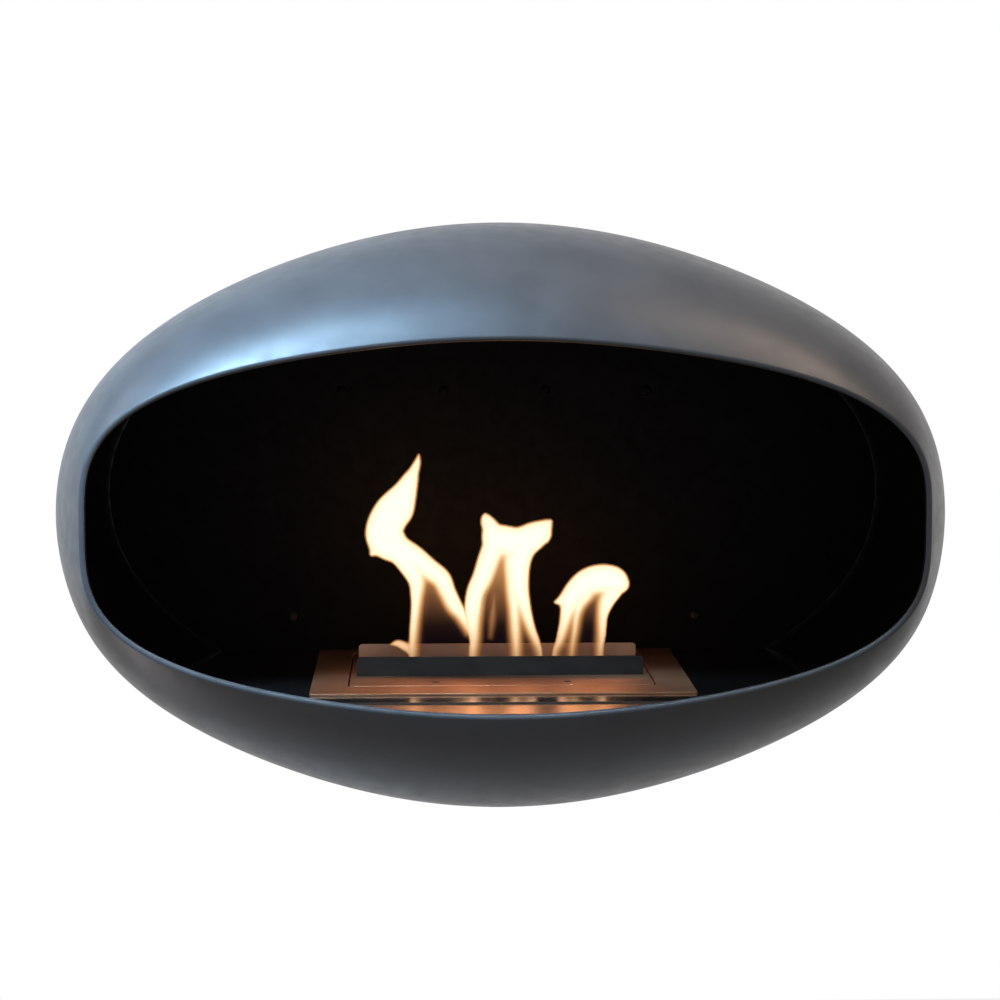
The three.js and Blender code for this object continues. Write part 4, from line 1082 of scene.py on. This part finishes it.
def ease(value, low, high):
    """0 to 1 as the value goes from low to high, with soft ends; low may be the greater."""
    s = np.clip((value - low) / (high - low), 0, 1)
    return s * s * (3 - 2 * s)


def cells_inside(inside, columns, rows):
    """Square faces whose four corners all lie inside."""
    solid = inside.reshape(rows, columns)
    whole = solid[:-1, :-1] & solid[1:, :-1] & solid[:-1, 1:] & solid[1:, 1:]
    corners = np.array([r * columns + c for r, c in zip(*np.nonzero(whole))])
    return np.stack([corners, corners + 1, corners + 1 + columns, corners + columns], axis=1)


def on_rim(faces, count):
    """Marks the points of edges that only one face has."""
    pairs = np.sort(np.concatenate([faces[:, [i, (i + 1) % 4]] for i in range(4)]), axis=1)
    edges, uses = np.unique(pairs, axis=0, return_counts=True)
    rim = np.zeros(count, bool)
    rim[edges[uses == 1].ravel()] = True
    return rim


def gas_depth(lines, hollows, x, h):
    """Depth in the tongues, in the haze between them, and in the two as one curtain."""
    body, haze = united(lines, x, h, TONGUE_JOIN), united(hollows, x, h, HAZE_JOIN)
    return body, haze, np.maximum(body, HAZE_SHARE * haze) + FLAME_SOFT


def pull_to_edge(lines, hollows, x, h, rim):
    """Moves a rim point onto the curtain's edge, so that the cells leave no steps there."""
    here = gas_depth(lines, hollows, x[rim], h[rim])[2]
    slope_x = (gas_depth(lines, hollows, x[rim] + RIM_PROBE, h[rim])[2] - here) / RIM_PROBE
    slope_h = (gas_depth(lines, hollows, x[rim], h[rim] + RIM_PROBE)[2] - here) / RIM_PROBE
    steep = np.maximum(slope_x ** 2 + slope_h ** 2, RIM_SLOPE_LEAST)
    step = np.clip(here / steep, -RIM_PULL_MOST, RIM_PULL_MOST)
    x[rim] -= step * slope_x
    at_foot = h[rim] < FLAME_FOOT / MM + 0.1
    h[rim] = np.where(at_foot, h[rim], h[rim] - step * slope_h)


def flat_curtain(lines, hollows):
    """The curtain's points (sideways, height), square faces, and marks for those on its rim."""
    every = np.vstack(lines + hollows)
    reach = every[:, 2].max() + 2
    xs = np.arange(every[:, 0].min() - reach, every[:, 0].max() + reach, FLAME_CELL)
    hs = np.arange(FLAME_FOOT / MM, every[:, 1].max() + reach, FLAME_CELL)
    x, h = (axis.ravel() for axis in np.meshgrid(xs, hs))
    faces = cells_inside(gas_depth(lines, hollows, x, h)[2] > 0, len(xs), len(hs))
    used, faces = np.unique(faces, return_inverse=True)
    faces = faces.reshape(-1, 4)
    x, h = x[used], h[used]
    rim = on_rim(faces, len(x))
    for _ in range(RIM_PULLS):
        pull_to_edge(lines, hollows, x, h, rim)
    return x, h, faces, rim


def gas_looks(body, haze, x, h, wisps):
    """How warm the gas is and how much it veils, by its depth in the tongues and its height."""
    melting = ease(haze, *MELT_IN_HAZE) * ease(body, *MELT_IN_TONGUE)
    apex = ease(h, *HAZE_APEX)
    molten = ease(body, *MOLTEN_DENSE) ** 1.5
    solidity = mix(ease(body, -FLAME_SOFT, FLAME_SOFT), molten, melting)
    foot, rise = TONGUE_VEIL
    body_veil = solidity * (foot + rise * ease(h, *TONGUE_DENSE_UP))
    foot, rise, top = HAZE_VEIL
    haze_veil = ease(haze, *HAZE_DENSE) * (foot + rise * ease(h, *HAZE_DENSE_UP) + top * apex)
    crisp = 0.80 * ease(body, *EDGE_WARM) + 0.20 * ease(body, *CORE_WARM)
    warmth = mix(crisp, ease(body, *MOLTEN_WARM), melting)
    foot, rise = TONGUE_WARMTH
    warmth *= foot + rise * ease(h, *TONGUE_WARM_UP)
    foot, rise, top = HAZE_WARMTH
    warmth = np.maximum(warmth, foot + rise * ease(h, *HAZE_WARM_UP) + top * apex)
    for wisp in wisps:
        glow = ease(depth_in(flowing(wisp), x, h), *WISP_DENSE) ** 1.5
        haze_veil += WISP_VEIL * glow
        warmth = np.maximum(warmth, WISP_WARMTH * glow)
    return warmth, 1 - (1 - body_veil) * (1 - np.clip(haze_veil, 0, 0.9))


def sway(x, h, seed):
    """How far a curtain waves forward and back, growing with its height."""
    waves = [size * np.sin(axis / length + phase) for size, axis, length, phase
             in zip(SWAY_SIZES, (x, h), SWAY_LENGTHS, (seed, 1.3 * seed))]
    return sum(waves) * ease(h, *SWAY_RISE)


def curtain(name, tongues, haze_lines, seed, wisps=()):
    """A cluster of tongues as one closed, lens-shaped curtain of gas."""
    lines = [flowing(line) for line in tongues.values()]
    hollows = [flowing(line) for line in haze_lines.values()]
    x, h, faces, rim = flat_curtain(lines, hollows)
    body, haze, _ = gas_depth(lines, hollows, x, h)
    warmth, veil = gas_looks(body, haze, x, h, wisps)
    veil[rim] = 0
    veil_each_side = 1 - np.sqrt(np.clip(1 - veil, 0, 1))
    thick = FLAME_BULGE * np.sqrt(np.clip(np.maximum(body, 0.5 * haze) / FLAME_FULL, 0, 1))
    thick[rim] = 0
    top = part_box("burner_plate")[1][2]
    near, far = (np.stack([x * MM, FLAME_Y + y * MM, top + h * MM], axis=1)
                 for y in (sway(x, h, seed) - thick, sway(x, h, seed) + thick))
    back_of = np.arange(len(x))
    back_of[~rim] = len(x) + np.arange((~rim).sum())
    sides = np.vstack([faces, back_of[faces][:, ::-1]])
    piece = new_piece(name, np.vstack([near, far[~rim]]), [tuple(f) for f in sides.tolist()],
                      [flame_material])
    for label, values in (("warmth", warmth), ("veil", veil_each_side)):
        attribute = piece.data.attributes.new(label, "FLOAT", "POINT")
        both_sides = np.concatenate([values, values[~rim]])
        attribute.data.foreach_set("value", both_sides.astype(np.float32))
    piece.visible_shadow = False
    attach(piece, "burner")
    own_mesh(piece)


flame_material = flame_gas()
curtain("flame_left", LEFT_TONGUES, LEFT_HAZE, 0.4)
curtain("flame_middle", MIDDLE_TONGUES, MIDDLE_HAZE, 2.1, wisps=[MIDDLE_WISP])
curtain("flame_right", RIGHT_TONGUES, RIGHT_HAZE, 3.6)
